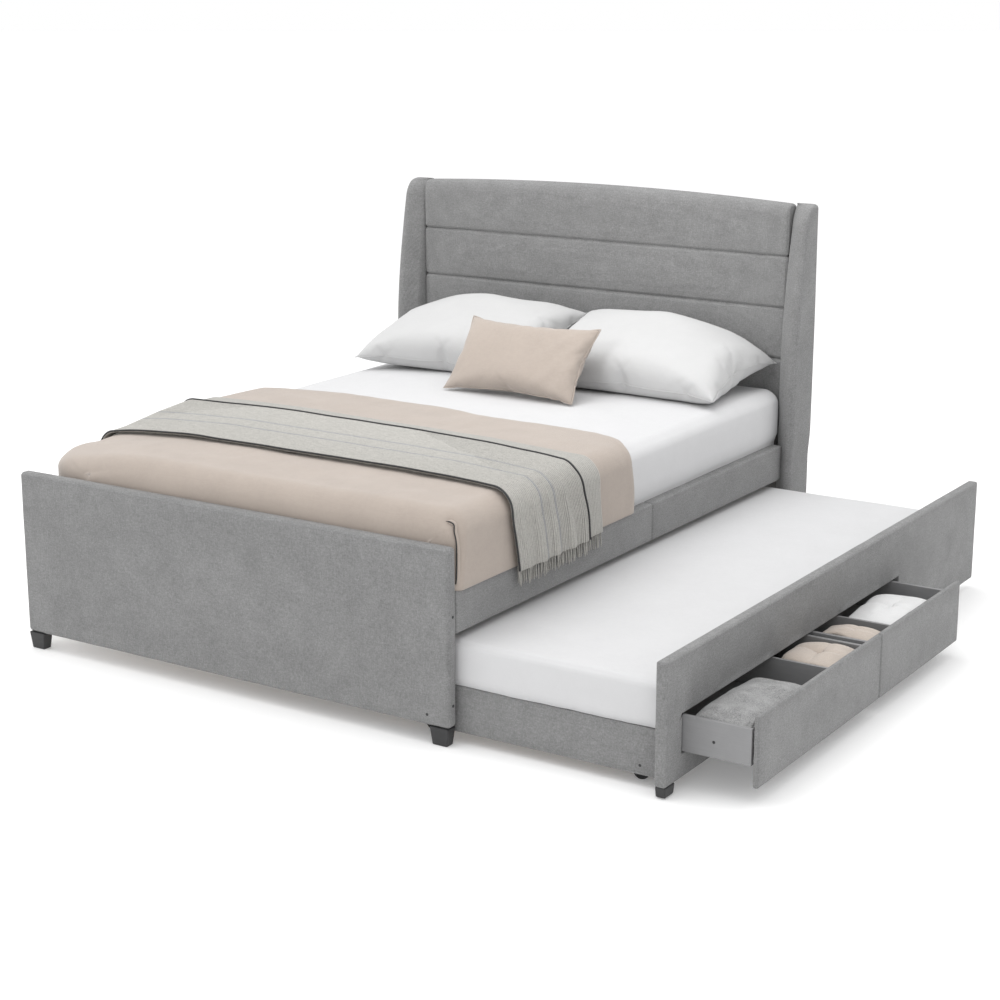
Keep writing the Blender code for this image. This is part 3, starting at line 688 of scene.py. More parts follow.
def wing_cover(word, side, looks):
    """A wing with softly rounded corners that leans back towards its round top."""
    name = f"headboard_wing_{word}"
    low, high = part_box(name)
    back, bottom, top = high.y, low.z, high.z
    thickness = high.x - low.x
    middle_x = (low.x + high.x) / 2
    panel_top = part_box("trundle_panel")[1].z
    levels = list(np.linspace(bottom, bottom + 0.012, 5))
    levels += list(np.linspace(bottom + 0.012, WING_CURVE_START, 22))[1:]
    levels += list(np.linspace(WING_CURVE_START, top - WING_TOP_ROLL, 20))[1:]
    levels += [top - WING_TOP_ROLL * (1 - math.sin(math.radians(6 * i))) for i in range(1, 16)]
    rings = []
    for z in levels:
        share = max(0.0, (z - WING_CURVE_START) / (top - WING_CURVE_START))
        front_roll = rolled_in(z - (top - WING_TOP_ROLL), WING_TOP_ROLL)
        edge_roll = rolled_in(z - (top - WING_BACK_ROLL), WING_BACK_ROLL)
        tuck = 0.006 * max(0.0, 1 - (z - bottom) / 0.010) ** 2
        lean = WING_TOP_SETBACK * share ** WING_LEAN + front_roll * 0.85
        above = min(1.0, max(0.0, (z - panel_top - 0.02) / 0.08))
        outer = thickness / 2 + WING_OUT_LOW + (WING_OUT_HIGH - WING_OUT_LOW) * above
        outer -= WING_TOP_NARROWING * share ** 2 + edge_roll + tuck
        inner = -thickness / 2 + edge_roll * 0.1 + tuck
        rear = back - tuck - edge_roll * 0.6
        front_outer = min(back - WING_DEPTHS[1] - 0.004 + lean + tuck, rear - 0.020)
        front_inner = min(back - WING_DEPTHS[0] + lean * 0.95 + tuck, rear - 0.012)
        wide, turn = outer - inner, front_inner - front_outer
        section = [(inner, rear), (inner, front_inner)]
        section += [(inner + wide * a, front_outer + turn * d) for a, d in WING_FACE]
        section += [(outer, front_outer + 0.010), (outer, rear)]
        reaches = (0.006, 0.020, 0.016, 0.012, 0.014, 0.012)
        rings.append([(middle_x + side * x, y, z) for x, y in fillet(section, reaches)])
    rings = np.array(rings)
    size = rings.shape[1]
    points = rings.reshape(-1, 3)
    centre = np.repeat(rings.mean(axis=1), size, axis=0)
    push = points - centre
    push /= np.linalg.norm(push, axis=1)[:, None]
    points = points + push * (waves(points, (0.05, 0.05, 0.18), 0.0012, 5.0) - 0.0004)[:, None]
    made = outward(add_mesh(f"{name}_cover", points, loft_faces(len(levels), size), looks["linen"]))
    made.data.set_sharp_from_angle(angle=math.radians(60))
    on_body(made, "bed", "upholstery", name)


# ---------------------------------------------------------------- trundle panel

def trundle_panel(looks):
    """The upholstered front of the trundle, with the opening that the drawers slide through."""
    low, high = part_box("trundle_panel")
    front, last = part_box("near_drawer_front"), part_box("far_drawer_front")
    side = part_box("near_drawer_side_near")
    opening = ((front[0].y - OPENING_ROOM, side[0].z - OPENING_ROOM),
               (last[1].y + OPENING_FAR_ROOM, side[1].z + OPENING_ROOM))
    points, away, shares, faces = block_skin(low, high, BOARD_RADIUS, BOARD_STEP)
    out = crown(away, shares, BOARD_CROWN) + waves(points, BOARD_RIPPLE_SIZE, BOARD_RIPPLE, 3.0)
    board = add_mesh("trundle_panel_cover", points + away * out[:, None], faces, looks["linen"])
    (start, sill), (end, head) = opening
    form = bmesh.new()
    bmesh.ops.create_cube(form, size=1)
    bmesh.ops.scale(form, vec=(0.2, end - start, head - sill), verts=form.verts)
    centre = ((low.x + high.x) / 2, (start + end) / 2, (sill + head) / 2)
    bmesh.ops.translate(form, vec=centre, verts=form.verts)
    mesh = bpy.data.meshes.new("opening")
    form.to_mesh(mesh)
    form.free()
    cutter = link("opening", mesh)
    modifier(board, "BOOLEAN", operation="DIFFERENCE", solver="EXACT", object=cutter)
    apply_modifiers(board)
    bpy.data.objects.remove(cutter)
    board.data.shade_smooth()
    board.data.set_sharp_from_angle(angle=math.radians(50))
    modifier(board, "BEVEL", width=0.0025, segments=3, limit_method="ANGLE",
             angle_limit=math.radians(60))
    on_body(board, "trundle", "upholstery", "trundle_panel")


# ---------------------------------------------------------------- bedding

def settle(points):
    """Lowers the left side of the bedding, and draws it in near the foot to a round corner."""
    low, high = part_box("mattress")
    middle, reach = (low.x + high.x) / 2, (high.x - low.x) / 2
    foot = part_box("footboard")[0].y
    left = np.clip((middle - points[:, 0]) / reach, 0, 1)
    into = np.clip((low.y + FOOT_CORNER - points[:, 1]) / FOOT_CORNER, 0, 1)
    drop = np.interp(points[:, 1] - foot, *zip(*LEFT_SLUMP)) * np.clip((left - 0.45) / 0.55, 0, 1) ** 1.6
    raised = np.clip((points[:, 2] - 0.44) / 0.20, 0, 1)
    points[:, 0] += FOOT_CORNER * (1 - np.sqrt(1 - into ** 2)) * left ** 2
    points[:, 2] -= drop * raised
    return points


def big_mattress(looks):
    low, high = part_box("mattress")
    rail_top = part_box("side_rail_right_foot")[1].z
    points, away, shares, faces = block_skin(low, high, MATTRESS_RADIUS, 0.026, 6)
    out = crown(away, shares, 0.004)
    out += waves(points, 0.30, 0.0022, 1.0) + waves(points, (0.10, 0.05, 0.08), 0.0010, 4.0)
    points = points + away * out[:, None]
    free = np.clip((points[:, 2] - rail_top - 0.004) / 0.030, 0, 1)
    free *= np.clip((high.z - points[:, 2]) / 0.05, 0, 1) ** 0.5
    points[:, 0] += away[:, 0] * MATTRESS_BULGE * free
    points = settle(points)
    made = add_mesh("mattress_cover", points, faces, looks["sheet"])
    on_body(made, "bed", "white_bedding", "mattress")


def over_bed(centre, half, bottom, top, radius, step, inset=0.0):
    """Places and outward directions of a line over the bed, from right bottom to left bottom."""
    inner = max(radius - inset, 0.002)
    reach, crest = half - inset, top - inset
    straight = top - radius - bottom
    side_count = max(2, round(straight / step))
    right = [((reach, bottom + straight * (i / side_count)), (1.0, 0.0)) for i in range(side_count)]
    for i in range(17):
        turn = math.radians(90 * i / 16)
        over, up = math.cos(turn), math.sin(turn)
        right.append(((reach - inner + inner * over, crest - inner + inner * up), (over, up)))
    left = [((-x, z), (-over, up)) for (x, z), (over, up) in reversed(right)]
    flat = reach - inner
    count = round(2 * (half - radius) / step)
    across = [((flat - 2 * flat * i / count, crest), (0.0, 1.0)) for i in range(1, count)]
    places, facing = zip(*right, *across, *left)
    return np.array(places) + (centre, 0), np.array(facing)


def lengths(line):
    return np.concatenate([[0], np.cumsum(np.linalg.norm(np.diff(line, axis=0), axis=1))])


def laid_out(line, y):
    """A line over the bed as places in the room."""
    return np.stack([line[:, 0], np.broadcast_to(y, len(line)), line[:, 1]], axis=1)


def by_reach(line, centre, near_side, far_side):
    """Values along a line over the bed, from stops of distance walked from its middle."""
    walked = lengths(line)
    middle = np.interp(0.0, centre - line[:, 0], walked)
    reach = walked - middle
    near = np.interp(-reach, *zip(*near_side))
    far = np.interp(reach, *zip(*far_side))
    return np.where(reach < 0, near, far)


def eased(values, rounds=3):
    """A line of values with its corners smoothed."""
    for _ in range(rounds):
        padded = np.concatenate([values[:1], values, values[-1:]])
        values = (padded[:-2] + 2 * padded[1:-1] + padded[2:]) / 4
    return values


def blanket(looks):
    """A beige blanket over the foot half: tucked in at the foot, hanging to the rails at the sides."""
    low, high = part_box("blanket")
    bottom, top = low.z + 0.0006, high.z
    centre = (low.x + high.x) / 2
    half = (high.x - low.x) / 2 - SIDE_ROOM
    foot = low.y - 0.004
    line, facing = over_bed(centre, half, bottom, top, BLANKET_ROLL, BLANKET_STEP)
    walked = lengths(line)
    head_line = eased(by_reach(line, centre, BLANKET_HEAD_RIGHT, BLANKET_HEAD_LEFT)) + low.y
    head = float(head_line.max())
    rows, metres = [], []
    straight = 66
    start = foot + BLANKET_FOOT_ROLL
    for r in range(straight):
        share = r / straight
        y = head_line + (start - head_line) * (share * 1.25 - 0.25 * share ** 2)
        rows.append(laid_out(line, y))
        metres.append(np.stack([walked, head - y], axis=1))
    # round the foot, then down behind the footboard: inset, place and distance from the head
    turns = [math.radians(90 * k / 16) for k in range(17)]
    ends = [(BLANKET_FOOT_ROLL * (1 - math.cos(turn)), start - BLANKET_FOOT_ROLL * math.sin(turn),
             head - start + BLANKET_FOOT_ROLL * turn) for turn in turns]
    ends += [(BLANKET_FOOT_ROLL + 0.011 * k, foot + 0.0003 * k, head - foot + 0.011 * k)
             for k in range(1, 6)]
    for inset, y, away in ends:
        ring, _ = over_bed(centre, half, bottom, top, BLANKET_ROLL, BLANKET_STEP, inset)
        rows.append(laid_out(ring, y))
        metres.append(np.stack([walked, np.full(len(ring), away)], axis=1))
    grid = np.array(rows)
    along, across = np.gradient(grid, axis=0), np.gradient(grid, axis=1)
    out = np.cross(along, across)
    out /= np.linalg.norm(out, axis=2)[:, :, None]
    flat = grid.reshape(-1, 3)
    down = np.clip((top - 0.03 - flat[:, 2]) / (top - bottom - 0.03), 0, 1)
    shift = waves(flat, 0.22, 0.0030, 2.0) + waves(flat, (0.05, 0.07, 0.09), 0.0012, 8.0)
    shift += waves(flat * (0.2, 1, 0.2), (1.0, 0.034, 0.30), 0.0100, 6.0) * down ** 0.9
    shift += waves(flat * (1, 1, 0.3), (0.30, 0.075, 0.30), 0.0022, 12.0)
    shift -= 0.0025 + 0.004 * down
    # the fold where the right side panel laps over the foot end
    fold = np.array([(centre + half - inward, foot + ahead, height) for inward, ahead, height in FOOT_FOLD])
    best = np.full(len(flat), 9.0)
    for first, second in zip(fold, fold[1:]):
        run = second - first
        t = np.clip(((flat - first) @ run) / (run @ run), 0, 1)
        best = np.minimum(best, np.linalg.norm(flat - (first + t[:, None] * run), axis=1))
    shift += 0.0040 * np.exp(-(best / 0.010) ** 2)
    flat = flat + out.reshape(-1, 3) * shift[:, None]
    flat[:, 2] = np.maximum(flat[:, 2], bottom)
    flat[:, 0] = np.clip(flat[:, 0], centre - half - 0.001, centre + half + 0.001)
    flat = settle(flat)
    made = cloth_shell("blanket_cloth", flat.reshape(grid.shape), np.array(metres), BLANKET_CLOTH,
                       looks["beige"])
    on_body(made, "bed", "beige_blanket", "blanket")
    lip_and_shade = fold_lip_and_shade(made, fold, looks)


def fold_lip_and_shade(made, fold, looks):
    """A rolled lip along the blanket's fold, on its outer face, and beside it a thin dark bar of painted
    shade for the fold's shadow line.
    """
    marks = np.linspace(0, len(fold) - 1, 40)
    path = np.stack([np.interp(marks, range(len(fold)), fold[:, axis]) for axis in range(3)], axis=1)
    laid = []
    for place in path:
        spot, normal = made.closest_point_on_mesh(Vector(place))[1:3]
        away = 0.02 if normal.x + normal.z > 0 else -0.02
        spot, normal = made.closest_point_on_mesh(spot + normal * away)[1:3]
        laid.append(np.array(spot) + np.array(normal) * FOOT_LIP * 0.3)
    laid = np.array([eased(np.array(laid)[:, axis], 6) for axis in range(3)]).T
    radii = FOOT_LIP * np.clip(np.linspace(0.2, 5.0, len(laid)), 0, 1)
    points, faces = tube(laid, radii, 10)
    lip = outward(add_mesh("blanket_fold_lip", points, faces, looks["beige"]))
    # painted shade: a thin dark bar on the lip's foot side stands for the shadow line of the fold
    points, faces = tube(laid + (-0.0004, -0.0058, 0.0012), radii * 0.34, 8)
    crease = outward(add_mesh("blanket_fold_painted_shade", points, faces, looks["painted_shade_lines"]))
    for piece in (lip, crease):
        on_body(piece, "bed", "beige_blanket")
    return [lip, crease]


def throw_layer(name, near_stops, far_stops, lift, hem, looks, seed, thin, step, depth):
    """One layer of the throw, across the bed and hanging at both sides: lift is its height on the
    blanket, thin its cloth, step its mesh's width and depth the share of its folds."""
    low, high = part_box("throw")
    half = (high.x - low.x) / 2 - SIDE_ROOM - THROW_CLOTH + lift
    centre = (low.x + high.x) / 2
    top = high.z - THROW_CLOTH + lift
    line, facing = over_bed(centre, half, hem, top, BLANKET_ROLL + 0.006, 0.016)
    walked = lengths(line)
    down = np.clip((top - 0.02 - line[:, 1]) / (top - hem - 0.02), 0, 1)
    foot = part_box("footboard")[0].y
    near = foot + eased(by_reach(line, centre, *near_stops))
    far = foot + eased(by_reach(line, centre, *far_stops))
    width = float((far - near).max())
    columns = round(width / step)
    rows, metres = [], []
    for j in range(columns + 1):
        share = j / columns
        y = near + (far - near) * share
        rows.append(laid_out(line, y))
        metres.append(np.stack([np.full(len(line), width * share), walked], axis=1))
    grid = np.array(rows)
    flat = grid.reshape(-1, 3)
    outward_face = laid_out(facing, 0.0)
    face = np.tile(outward_face, (columns + 1, 1))
    hang = np.tile(down, columns + 1)
    share = np.repeat(np.arange(columns + 1) / columns, len(line))
    side = np.sign(flat[:, 0] - centre)
    folds = np.zeros(len(flat))
    for place, wide, tall in THROW_FOLDS:
        lean = place + 0.03 * side * hang
        folds += tall * np.exp(-((share - lean) / wide) ** 2)
    shift = folds * hang ** 0.8 * depth
    shift += waves(flat, 0.16, 0.0016, seed)
    shift += waves(flat * (0.3, 1, 0.3), (1, 0.03, 0.3), 0.0022, seed) * hang
    shift += 0.0007 * np.sin(2 * math.pi * share * width / THROW_RIB)
    grid = settle(flat + face * (shift + 0.0016)[:, None]).reshape(grid.shape)
    made = cloth_shell(name, grid[::-1], np.array(metres)[::-1], thin, looks["throw"])
    return made, grid, outward_face, (width, float(walked[-1]))


def painted_shade_lines(name, grid, face, looks):
    """Dark cords along both long sides of a layer: painted shade, the shadow lines under its edges."""
    parts = []
    # each cord is a dark bar of painted shadow, laid along one edge of the layer
    for row, height in ((0, THROW_CLOTH * 0.9), (-1, THROW_CLOTH + THROW_SHADE_CORD * 0.2)):
        line = grid[row] + face * height + (0, 0.0012 if row else -0.0022, 0)
        parts.append(tube(line, np.full(len(line), THROW_SHADE_CORD), 8))
    points, faces = gather(parts)
    return outward(add_mesh(name, points, faces, looks["painted_shade_lines"]))


def fringe(name, roots, looks, seed):
    """Twisted strands that hang from a hem, each a little different."""
    parts = []
    for hem, side in roots:
        walked = lengths(hem)
        count = int(walked[-1] / STRAND_PITCH)
        for k in range(count + 1):
            at = walked[-1] * (k + 0.3) / (count + 0.6)
            root = np.array([np.interp(at, walked, hem[:, a]) for a in range(3)])
            wob = [noise.noise(Vector((k * 1.37 + seed, n * 7.1, side * 3.3))) for n in range(4)]
            length = THROW_FRINGE * (0.92 + 0.16 * wob[0])
            line, radii = [], []
            for i in range(7):
                t = i / 6
                sway = 0.010 * wob[1] * t + 0.004 * wob[2] * math.sin(math.pi * t)
                line.append(root + np.array([side * (-0.0022 + 0.0030 * (wob[3] + 0.4) * t), sway,
                                             0.004 - (length + 0.004) * t]))
                radii.append(STRAND / 2 * (1.0 - 0.18 * t + 0.12 * math.sin(9 * t + k)))
            parts.append(tube(line, radii))
    points, faces = gather(parts)
    made = outward(add_mesh(name, points, faces, looks["throw"]))
    keep_metres(made, np.array(points)[:, [1, 2, 0]])
    return made


def woven_throw(looks):
    """The folded throw: a narrower layer on a wider one, with fringe at both ends."""
    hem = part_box("throw")[0].z + THROW_FRINGE
    near_stops = (THROW_NEAR, THROW_NEAR_LEFT)
    inner = [tuple((reach, place + 0.018) for reach, place in stops) for stops in near_stops]
    layers = (("under", inner, (THROW_UNDER_FAR, THROW_UNDER_FAR_LEFT), THROW_UNDER_LIFT, 3.0,
               THROW_UNDER_CLOTH, 0.0046, 0.25),
              ("upper", near_stops, (THROW_FAR, THROW_FAR_LEFT), THROW_UPPER_LIFT, 9.0,
               THROW_CLOTH, 0.0023, 1.0))
    for word, near, far, lift, seed, thin, step, depth in layers:
        name = f"throw_{word}_layer"
        made, grid, face, flat = throw_layer(name, near, far, lift, hem, looks, seed, thin, step, depth)
        roots = ((grid[:, 0], 1), (grid[:, -1], -1))
        extras = [fringe(f"throw_fringe_{word}", roots, looks, seed + 2)]
        if word == "upper":
            # dark cords of painted shade along both edges of the upper layer
            extras.append(painted_shade_lines("throw_painted_shade_lines", grid, face, looks))
        for extra in extras:
            on_body(extra, "bed", "woven_throw")
        on_body(made, "bed", "woven_throw", "throw")


def envelope(name, width, depth, nx, ny, rise, look):
    """Two sheets sewn along their edges, lightly parted."""
    points, index, faces = [], {}, []
    for side in (1, -1):
        for i in range(nx + 1):
            for j in range(ny + 1):
                edge = i in (0, nx) or j in (0, ny)
                if edge and side == -1:
                    index[i, j, side] = index[i, j, 1]
                    continue
                u, v = 2 * i / nx - 1, 2 * j / ny - 1
                index[i, j, side] = len(points)
                lift = 0 if edge else side * rise * math.sqrt((1 - u * u) * (1 - v * v))
                points.append((u * width / 2, v * depth / 2, lift))
    for side in (1, -1):
        for i in range(nx):
            for j in range(ny):
                ring = [index[i, j, side], index[i + 1, j, side], index[i + 1, j + 1, side],
                        index[i, j + 1, side]]
                faces.append(ring if side == 1 else ring[::-1])
    made = add_mesh(name, points, faces, look)
    border = [index[i, 0, 1] for i in range(nx)] + [index[nx, j, 1] for j in range(ny)]
    border += [index[i, ny, 1] for i in range(nx, 0, -1)] + [index[0, j, 1] for j in range(ny, 0, -1)]
    return made, border


def inflate(made, bending):
    """Blows an envelope up with Blender's cloth, and keeps its mesh."""
    cloth = modifier(made, "CLOTH").settings
    settings = {"quality": 6, "mass": 0.3, "tension_stiffness": 15, "compression_stiffness": 15,
                "shear_stiffness": 5, "bending_stiffness": bending, "air_damping": 3,
                "use_pressure": True, "uniform_pressure_force": SIM_PRESSURE}
    for key, value in settings.items():
        setattr(cloth, key, value)
    cloth.effector_weights.gravity = 0
    for number in range(1, SIM_FRAMES + 1):
        bpy.context.scene.frame_set(number)
    apply_modifiers(made)
    bpy.context.scene.frame_set(1)


def stuffed(name, node_name, size, tilt, grid, bending, look, slot, shape):
    """A pillow: an inflated envelope pressed to its real thickness and laid at its CAD node's place."""
    made, border = envelope(name, size[0] * 1.045, size[1] * 1.075, *grid, 0.02, look)
    inflate(made, bending)
    points = points_of(made)
    span = points.max(axis=0) - points.min(axis=0)
    points *= np.array(size) / span
    points = shape(points)
    modified = points @ np.array(Matrix.Rotation(tilt, 3, "X")).T
    low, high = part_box(node_name)
    modified += (np.array(low) + np.array(high)) / 2
    set_points(made, modified)
    return on_body(made, "bed", slot, node_name), border


def kept_above(values, floor):
    """Values squeezed gently, so that none passes below floor."""
    depth = floor - values
    squeezed = floor + 0.0004 + SOFT_REACH * np.exp(-(depth + SOFT_REACH) / SOFT_REACH)
    return np.where(depth > -SOFT_REACH, squeezed, values)


def lay_on(made, floor_z, wall_y=None):
    """Flattens what would sink into the mattress or the headboard."""
    points = points_of(made)
    points[:, 2] = kept_above(points[:, 2], floor_z)
    if wall_y is not None:
        points[:, 1] = -kept_above(-points[:, 1], -wall_y)
    set_points(made, points)


def sewn(name, made, border, radius, look, slot):
    """Ends a pillow: a sewn cord of radius round its seam, and a finer mesh."""
    line = [made.data.vertices[i].co.copy() for i in border]
    curve = bpy.data.curves.new(name, "CURVE")
    curve.dimensions = "3D"
    curve.bevel_depth = radius
    curve.bevel_resolution = 3
    spline = curve.splines.new("POLY")
    spline.points.add(len(line) - 1)
    for point, place in zip(spline.points, line):
        point.co = (*place, 1)
    spline.use_cyclic_u = True
    curve.materials.append(look)
    on_body(link(name, curve), "bed", slot)
    modifier(made, "SUBSURF", levels=2, render_levels=2)
    apply_modifiers(made)
    made.data.shade_smooth()


def pillows(looks):
    floor_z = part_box("mattress")[1].z + ON_MATTRESS
    wall_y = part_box("headboard_channel_2")[0].y
    for word, side in (("left", -1), ("right", 1)):
        def shape(points, side=side):
            outer = np.clip(side * points[:, 0] / (PILLOW_SIZE[0] / 2), 0, 1)
            rear = np.clip(points[:, 1] / PILLOW_SIZE[1] + 0.5, 0, 1)
            points[:, 2] += waves(points, 0.14, 0.006, 2.0 + side)
            points[:, 2] -= PILLOW_DROOP * outer ** 2.2 * rear ** 1.5
            return points
        made, border = stuffed(f"pillow_{word}_soft", f"pillow_{word}", PILLOW_SIZE, PILLOW_TILT,
                               (56, 36), 0.5, looks["white"], "white_bedding", shape)
        lay_on(made, floor_z, wall_y)
        sewn(f"pillow_{word}_seam", made, border, 0.0014, looks["white"], "white_bedding")


def accent_cushion(looks):
    floor_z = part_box("mattress")[1].z + ON_MATTRESS

    def shape(points):
        span = points[:, 0] / CUSHION_HALF[0]
        rim = (1 - np.abs(span)) * (1 - np.abs(points[:, 1]) / CUSHION_HALF[1])
        crease = waves(points @ np.array(Matrix.Rotation(0.7, 3, "Z")).T, (0.035, 0.16, 1), 0.0055, 3.0)
        points[:, 2] += np.sign(points[:, 2]) * crease * np.clip(span, 0, 1) * np.clip(rim * 8, 0, 1)
        return points

    made, border = stuffed("accent_cushion_soft", "accent_cushion", CUSHION_SIZE, CUSHION_TILT,
                           (48, 30), 0.3, looks["cushion"], "beige_cushion", shape)
    made.data.transform(Matrix.Translation(CUSHION_SHIFT))
    lay_on(made, floor_z)
    sewn("accent_cushion_piping", made, border, 0.0024, looks["cushion"], "beige_cushion")


def trundle_mattress(looks):
    """The trundle's mattress, its fitted sheet hanging over both ends of the slat deck."""
    low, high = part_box("trundle_mattress")
    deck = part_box("trundle_slats")[1].z + 0.0006
    points, away, shares, faces = block_skin(low, high, TRUNDLE_ROUND, 0.024, 6)
    height = np.clip((points[:, 2] - low.z) / (high.z - low.z), 0, 1)
    from_end = np.minimum(points[:, 1] - low.y, high.y - points[:, 1])
    floor_here = np.where(from_end < SHEET_END, low.z, deck)
    under = away[:, 2] < -0.3
    points[:, 2] = np.where(under, floor_here, points[:, 2])
    side = (np.abs(away[:, 0]) > 0.9) & (from_end > SHEET_END)
    points[:, 2] = np.where(side, np.maximum(points[:, 2], deck), points[:, 2])
    out = crown(away, shares, 0.0030) + waves(points, 0.26, 0.0018, 7.0)
    hang = np.abs(away[:, 1]) * (1 - height)
    out += waves(points * (1, 0.2, 0.3), (0.045, 1, 0.3), 0.0020, 4.0) * hang
    out -= 0.003 * np.exp(-((points[:, 2] - deck - 0.012) / 0.006) ** 2) * np.abs(away[:, 1])
    points = points + away * (out - 0.002)[:, None]
    made = add_mesh("trundle_mattress_cover", points, faces, looks["sheet"])
    on_body(made, "trundle", "white_bedding", "trundle_mattress")


# ---------------------------------------------------------------- drawers

def folded_towel(low, high, layers):
    """One towel folded back and forth, its folds to the front and the back."""
    pitch = (high[2] - low[2]) / layers
    bend = pitch / 2
    line = []
    for k in range(layers):
        z = low[2] + pitch * (k + 0.5)
        ends = (low[0] + bend, high[0] - bend) if k % 2 == 0 else (high[0] - bend, low[0] + bend)
        for t in np.linspace(0, 1, 26):
            line.append((ends[0] + (ends[1] - ends[0]) * t, z))
        if k < layers - 1:
            right = 1 if k % 2 == 0 else -1
            for a in (-60, -30, 0, 30, 60):
                turn = math.radians(a)
                line.append((ends[1] + right * bend * math.cos(turn), z + bend + bend * math.sin(turn)))
    walked = lengths(np.array(line))
    rows = np.linspace(low[1] + 0.004, high[1] - 0.004, 48)
    grid = np.array([[(x, y, z) for x, z in line] for y in rows])
    metres = np.array([[(y, w) for w in walked] for y in rows])
    return grid, metres, (float(rows[-1] - rows[0]), float(walked[-1]))


def puffed(grid, low, high, seed, pinch):
    """The soft outline of a stack of towels that fills a box, drawn in at its middle by pinch."""
    middle, half = (low + high) / 2, (high - low) / 2
    flat = grid.reshape(-1, 3)
    off = flat - middle
    across, along = np.abs(off[:, 0] / half[0]), np.abs(off[:, 1] / half[1])
    height = (flat[:, 2] - low[2]) / (high[2] - low[2])
    full = 0.97 - 0.20 * np.clip(across, 0, 1) ** 3.5 - 0.22 * np.clip(along, 0, 1) ** 3.5
    full += waves(flat * (1, 1, 0.2), (0.07, 0.07, 1), 0.11, seed)
    dent = 0.020 * np.exp(-(off[:, 0] ** 2 + off[:, 1] ** 2) / 0.016 ** 2)
    dent += 0.011 * np.exp(-(off[:, 1] / 0.011) ** 2) * np.exp(-(off[:, 0] / 0.070) ** 2)
    dent += 0.011 * np.exp(-(off[:, 0] / 0.010) ** 2) * np.exp(-(off[:, 1] / 0.080) ** 2)
    flat[:, 2] = low[2] + (high[2] - low[2]) * height * full - pinch * dent * height ** 2
    flat[:, 1] += waves(flat * (0.5, 0.2, 1), (0.12, 1, 0.02), 0.007, seed + 4) * along ** 2
    flat[:, 0] += waves(flat * (0.2, 1, 1), (1, 0.08, 0.03), 0.005, seed + 7)
    return flat.reshape(grid.shape)


def towels(looks):
    """Stacks of folded towels in the open part of the drawers: two towels to a stack."""
    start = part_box("trundle_panel")[1].x + 0.004
    stacks = (("towel_grey", "near_drawer", "grey_towel", 0.3),
              ("towel_beige_near", "near_drawer", "beige_towel", 1.0),
              ("towel_beige_far", "far_drawer", "beige_towel", 0.3),
              ("towel_white", "far_drawer", "white_towel", 1.0))
    for number, (name, body, look, pinch) in enumerate(stacks):
        low, high = (np.array(corner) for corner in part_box(name))
        low[0], high[2] = start, high[2] + TOWEL_RISE
        each = (high[2] - low[2]) / 2
        for k in range(2):
            inset = 0.004 + 0.005 * k
            first = low + (0.004 + 0.006 * k, inset, each * k + 0.0006)
            last = high - (0.003 + 0.004 * k, inset * 1.5, each * (1 - k))
            grid, metres, flat = folded_towel(first, last, TOWEL_LAYERS)
            grid = puffed(grid, low, high, number * 5.0 + k * 0.3, pinch)
            thickness = 0.90 * each / TOWEL_LAYERS
            made = cloth_shell(f"{name}_{k + 1}", grid, metres, thickness, looks[look])
            on_body(made, body, look, name)
            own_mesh(made)


def screw_heads(looks):
    """Small dark countersunk screws where boards are fixed."""
    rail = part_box("trundle_end_rail_near")
    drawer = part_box("near_drawer_side_near")
    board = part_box("footboard")
    spots = (("footboard_screw_upper", (board[1].x + 0.0014, board[0].y + 0.020, 0.375), 0, 1, "bed"),
             ("footboard_screw_lower", (board[1].x + 0.0014, board[0].y + 0.020, 0.119), 0, 1, "bed"),
             ("footboard_screw_front", (board[1].x - 0.073, board[0].y, 0.086), 1, -1, "bed"),
             ("end_rail_screw", (rail[1].x - 0.068, rail[0].y, 0.060), 1, -1, "trundle"),
             ("drawer_screw", (drawer[1].x - 0.107, drawer[0].y, 0.150), 1, -1, "near_drawer"))
    for name, place, axis, way, body in spots:
        profile = ((0.0, 0.0004), (0.0012, 0.0004), (0.0014, 0.0009), (0.0034, 0.0010), (0.0042, 0.0004),
                   (0.0044, -0.0010))
        points, faces = lathe(profile, place, axis, way, 20)
        on_body(outward(add_mesh(name, points, faces, looks["plastic"])), body, "black_plastic")


def lathe(profile, place, axis, way, sides):
    """A turned form: profile is (radius, height) along axis from place."""
    others = [a for a in range(3) if a != axis]
    points = []
    for radius, height in profile:
        for k in range(sides):
            turn = 2 * math.pi * k / sides
            point = list(place)
            point[axis] += way * height
            point[others[0]] += max(radius, 0.00002) * math.cos(turn)
            point[others[1]] += max(radius, 0.00002) * math.sin(turn)
            points.append(point)
    return points, loft_faces(len(profile), sides)


def wheels(looks):
    """Rubber-tyred wheels with a dished hub on both sides and their axle ends."""
    for end in ("near", "far"):
        for row in ("front", "back"):
            name = f"wheel_{end}_{row}"
            low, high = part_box(name)
            centre = [(low[a] + high[a]) / 2 for a in range(3)]
            reach = (high.x - low.x) / 2
            half, pin = WHEEL_HALF, (high.y - low.y) / 2
            outline = ((0.0, pin), (0.0030, pin), (0.0040, pin - 0.0008), (0.0040, half - 0.0020),
                       (0.0080, half - 0.0020), (0.0085, half - 0.0004), (0.0110, half - 0.0004),
                       (0.0125, half - 0.0026), (0.0170, half - 0.0026), (0.0182, half - 0.0008),
                       (reach - 0.0030, half - 0.0006), (reach - 0.0008, half - 0.0030),
                       (reach, half - 0.0055))
            profile = list(outline) + [(r, -h) for r, h in reversed(outline)]
            points, faces = lathe(profile, centre, 1, 1, 40)
            made = outward(add_mesh(f"{name}_tyre", points, faces, looks["rubber"]))
            made.data.set_sharp_from_angle(angle=math.radians(35))
            on_body(made, name, "wheel_rubber", name)


# ---------------------------------------------------------------- studio

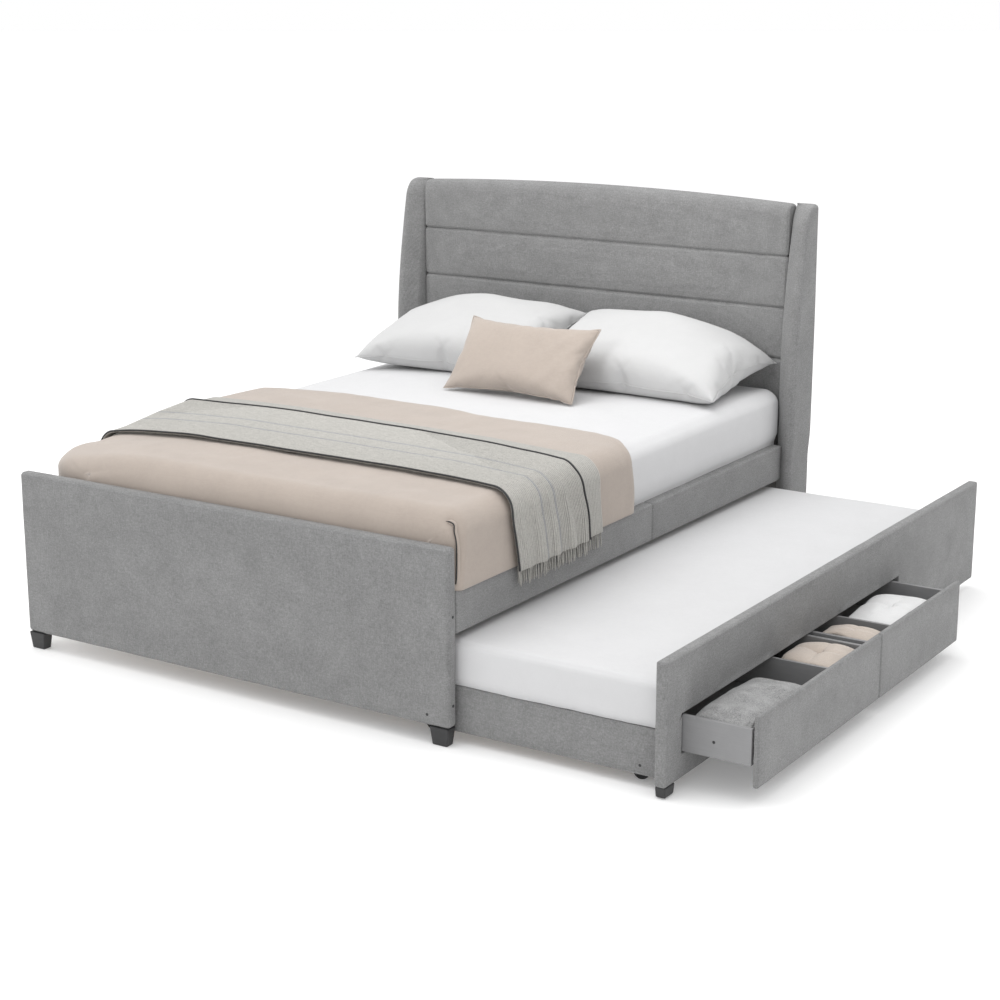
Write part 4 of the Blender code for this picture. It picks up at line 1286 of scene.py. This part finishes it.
def studio():
    """The camera, the lights and the floor."""
    low, high = CAD_BOX
    scene = bpy.context.scene
    scene.view_settings.view_transform = "Standard"
    camera = link("camera", bpy.data.cameras.new("camera"))
    camera.data.lens = CAMERA_LENS
    camera.data.sensor_width = 36
    camera.data.clip_end = 60
    camera.location = CAMERA_PLACE
    camera.rotation_euler = (math.radians(90 - CAMERA_PITCH), 0, math.radians(CAMERA_YAW))
    scene.camera = camera
    world = bpy.data.worlds.new("studio")
    world.use_nodes = True
    background = world.node_tree.nodes["Background"]
    background.inputs[0].default_value = (1, 1, 1, 1)
    background.inputs[1].default_value = 1.0
    scene.world = world
    middle = (0, 0, 0.4)
    lights = (("key_light", "AREA", (-2.6, -4.2, 5.2), middle, 22, {"shape": "SQUARE", "size": 4.5}),
              ("top_light", "AREA", (-0.4, -0.5, 5.0), middle, 150, {"shape": "SQUARE", "size": 5.0}),
              ("headboard_light", "SPOT", (-0.5, -3.1, 2.6), (0, high.y, 0.98), 190,
               {"spot_size": math.radians(27), "spot_blend": 0.9, "shadow_soft_size": 0.6}))
    for name, kind, place, target, power, settings in lights:
        lamp = bpy.data.lights.new(name, kind)
        lamp.energy = power
        for key, value in settings.items():
            setattr(lamp, key, value)
        made = link(name, lamp)
        made.location = place
        made.rotation_euler = (Vector(target) - Vector(place)).to_track_quat("-Z", "Y").to_euler()
    reach = 60.0
    floor = add_mesh("floor", [(-reach, -reach, low.z), (reach, -reach, low.z), (reach, reach, low.z),
                               (-reach, reach, low.z)], [(0, 1, 2, 3)], floor_look())


def frame_looks(looks):
    """The CAD nodes that stay, with their materials."""
    box_parts = ("side_near", "side_far", "back", "bottom", "divider")
    plain = {
        "plastic": ("footboard_leg_left", "headboard_leg_left", "footboard_leg_right",
                    "headboard_leg_right", "trundle_foot_near", "trundle_foot_far"),
        "board": [f"{word}_drawer_{part}" for word in ("near", "far") for part in box_parts],
        "timber": ("drawer_runner_near", "drawer_runner_middle", "drawer_runner_far"),
        "steel": ("centre_beam", "trundle_slat_angle"),
    }
    for look, names in plain.items():
        for name in names:
            soften(name, looks[look])
    for name in ("near_front", "near_back", "far_front", "far_back"):
        soften(f"caster_{name}", looks["steel"], 0.0008)
    for name in ("bed_slats", "trundle_slats"):
        soften(name, looks["timber"], 0.0015)


def main():
    looks = make_looks()
    studio()
    frame_looks(looks)
    upholstered("footboard", "bed", looks, FOOTBOARD_RADIUS, 0.0016)
    for side in ("left", "right"):
        for end in ("foot", "head"):
            upholstered(f"side_rail_{side}_{end}", "bed", looks)
    upholstered("headboard_core", "bed", looks)
    channel_pads(looks)
    wing_cover("left", -1, looks)
    wing_cover("right", 1, looks)
    for word in ("near", "far"):
        upholstered(f"trundle_end_rail_{word}", "trundle", looks)
        upholstered(f"{word}_drawer_front", f"{word}_drawer", looks, room=FRONT_ROOM)
    upholstered("trundle_back_rail", "trundle", looks, 0.004)
    trundle_panel(looks)
    big_mattress(looks)
    blanket(looks)
    woven_throw(looks)
    pillows(looks)
    accent_cushion(looks)
    trundle_mattress(looks)
    towels(looks)
    wheels(looks)
    screw_heads(looks)


main()
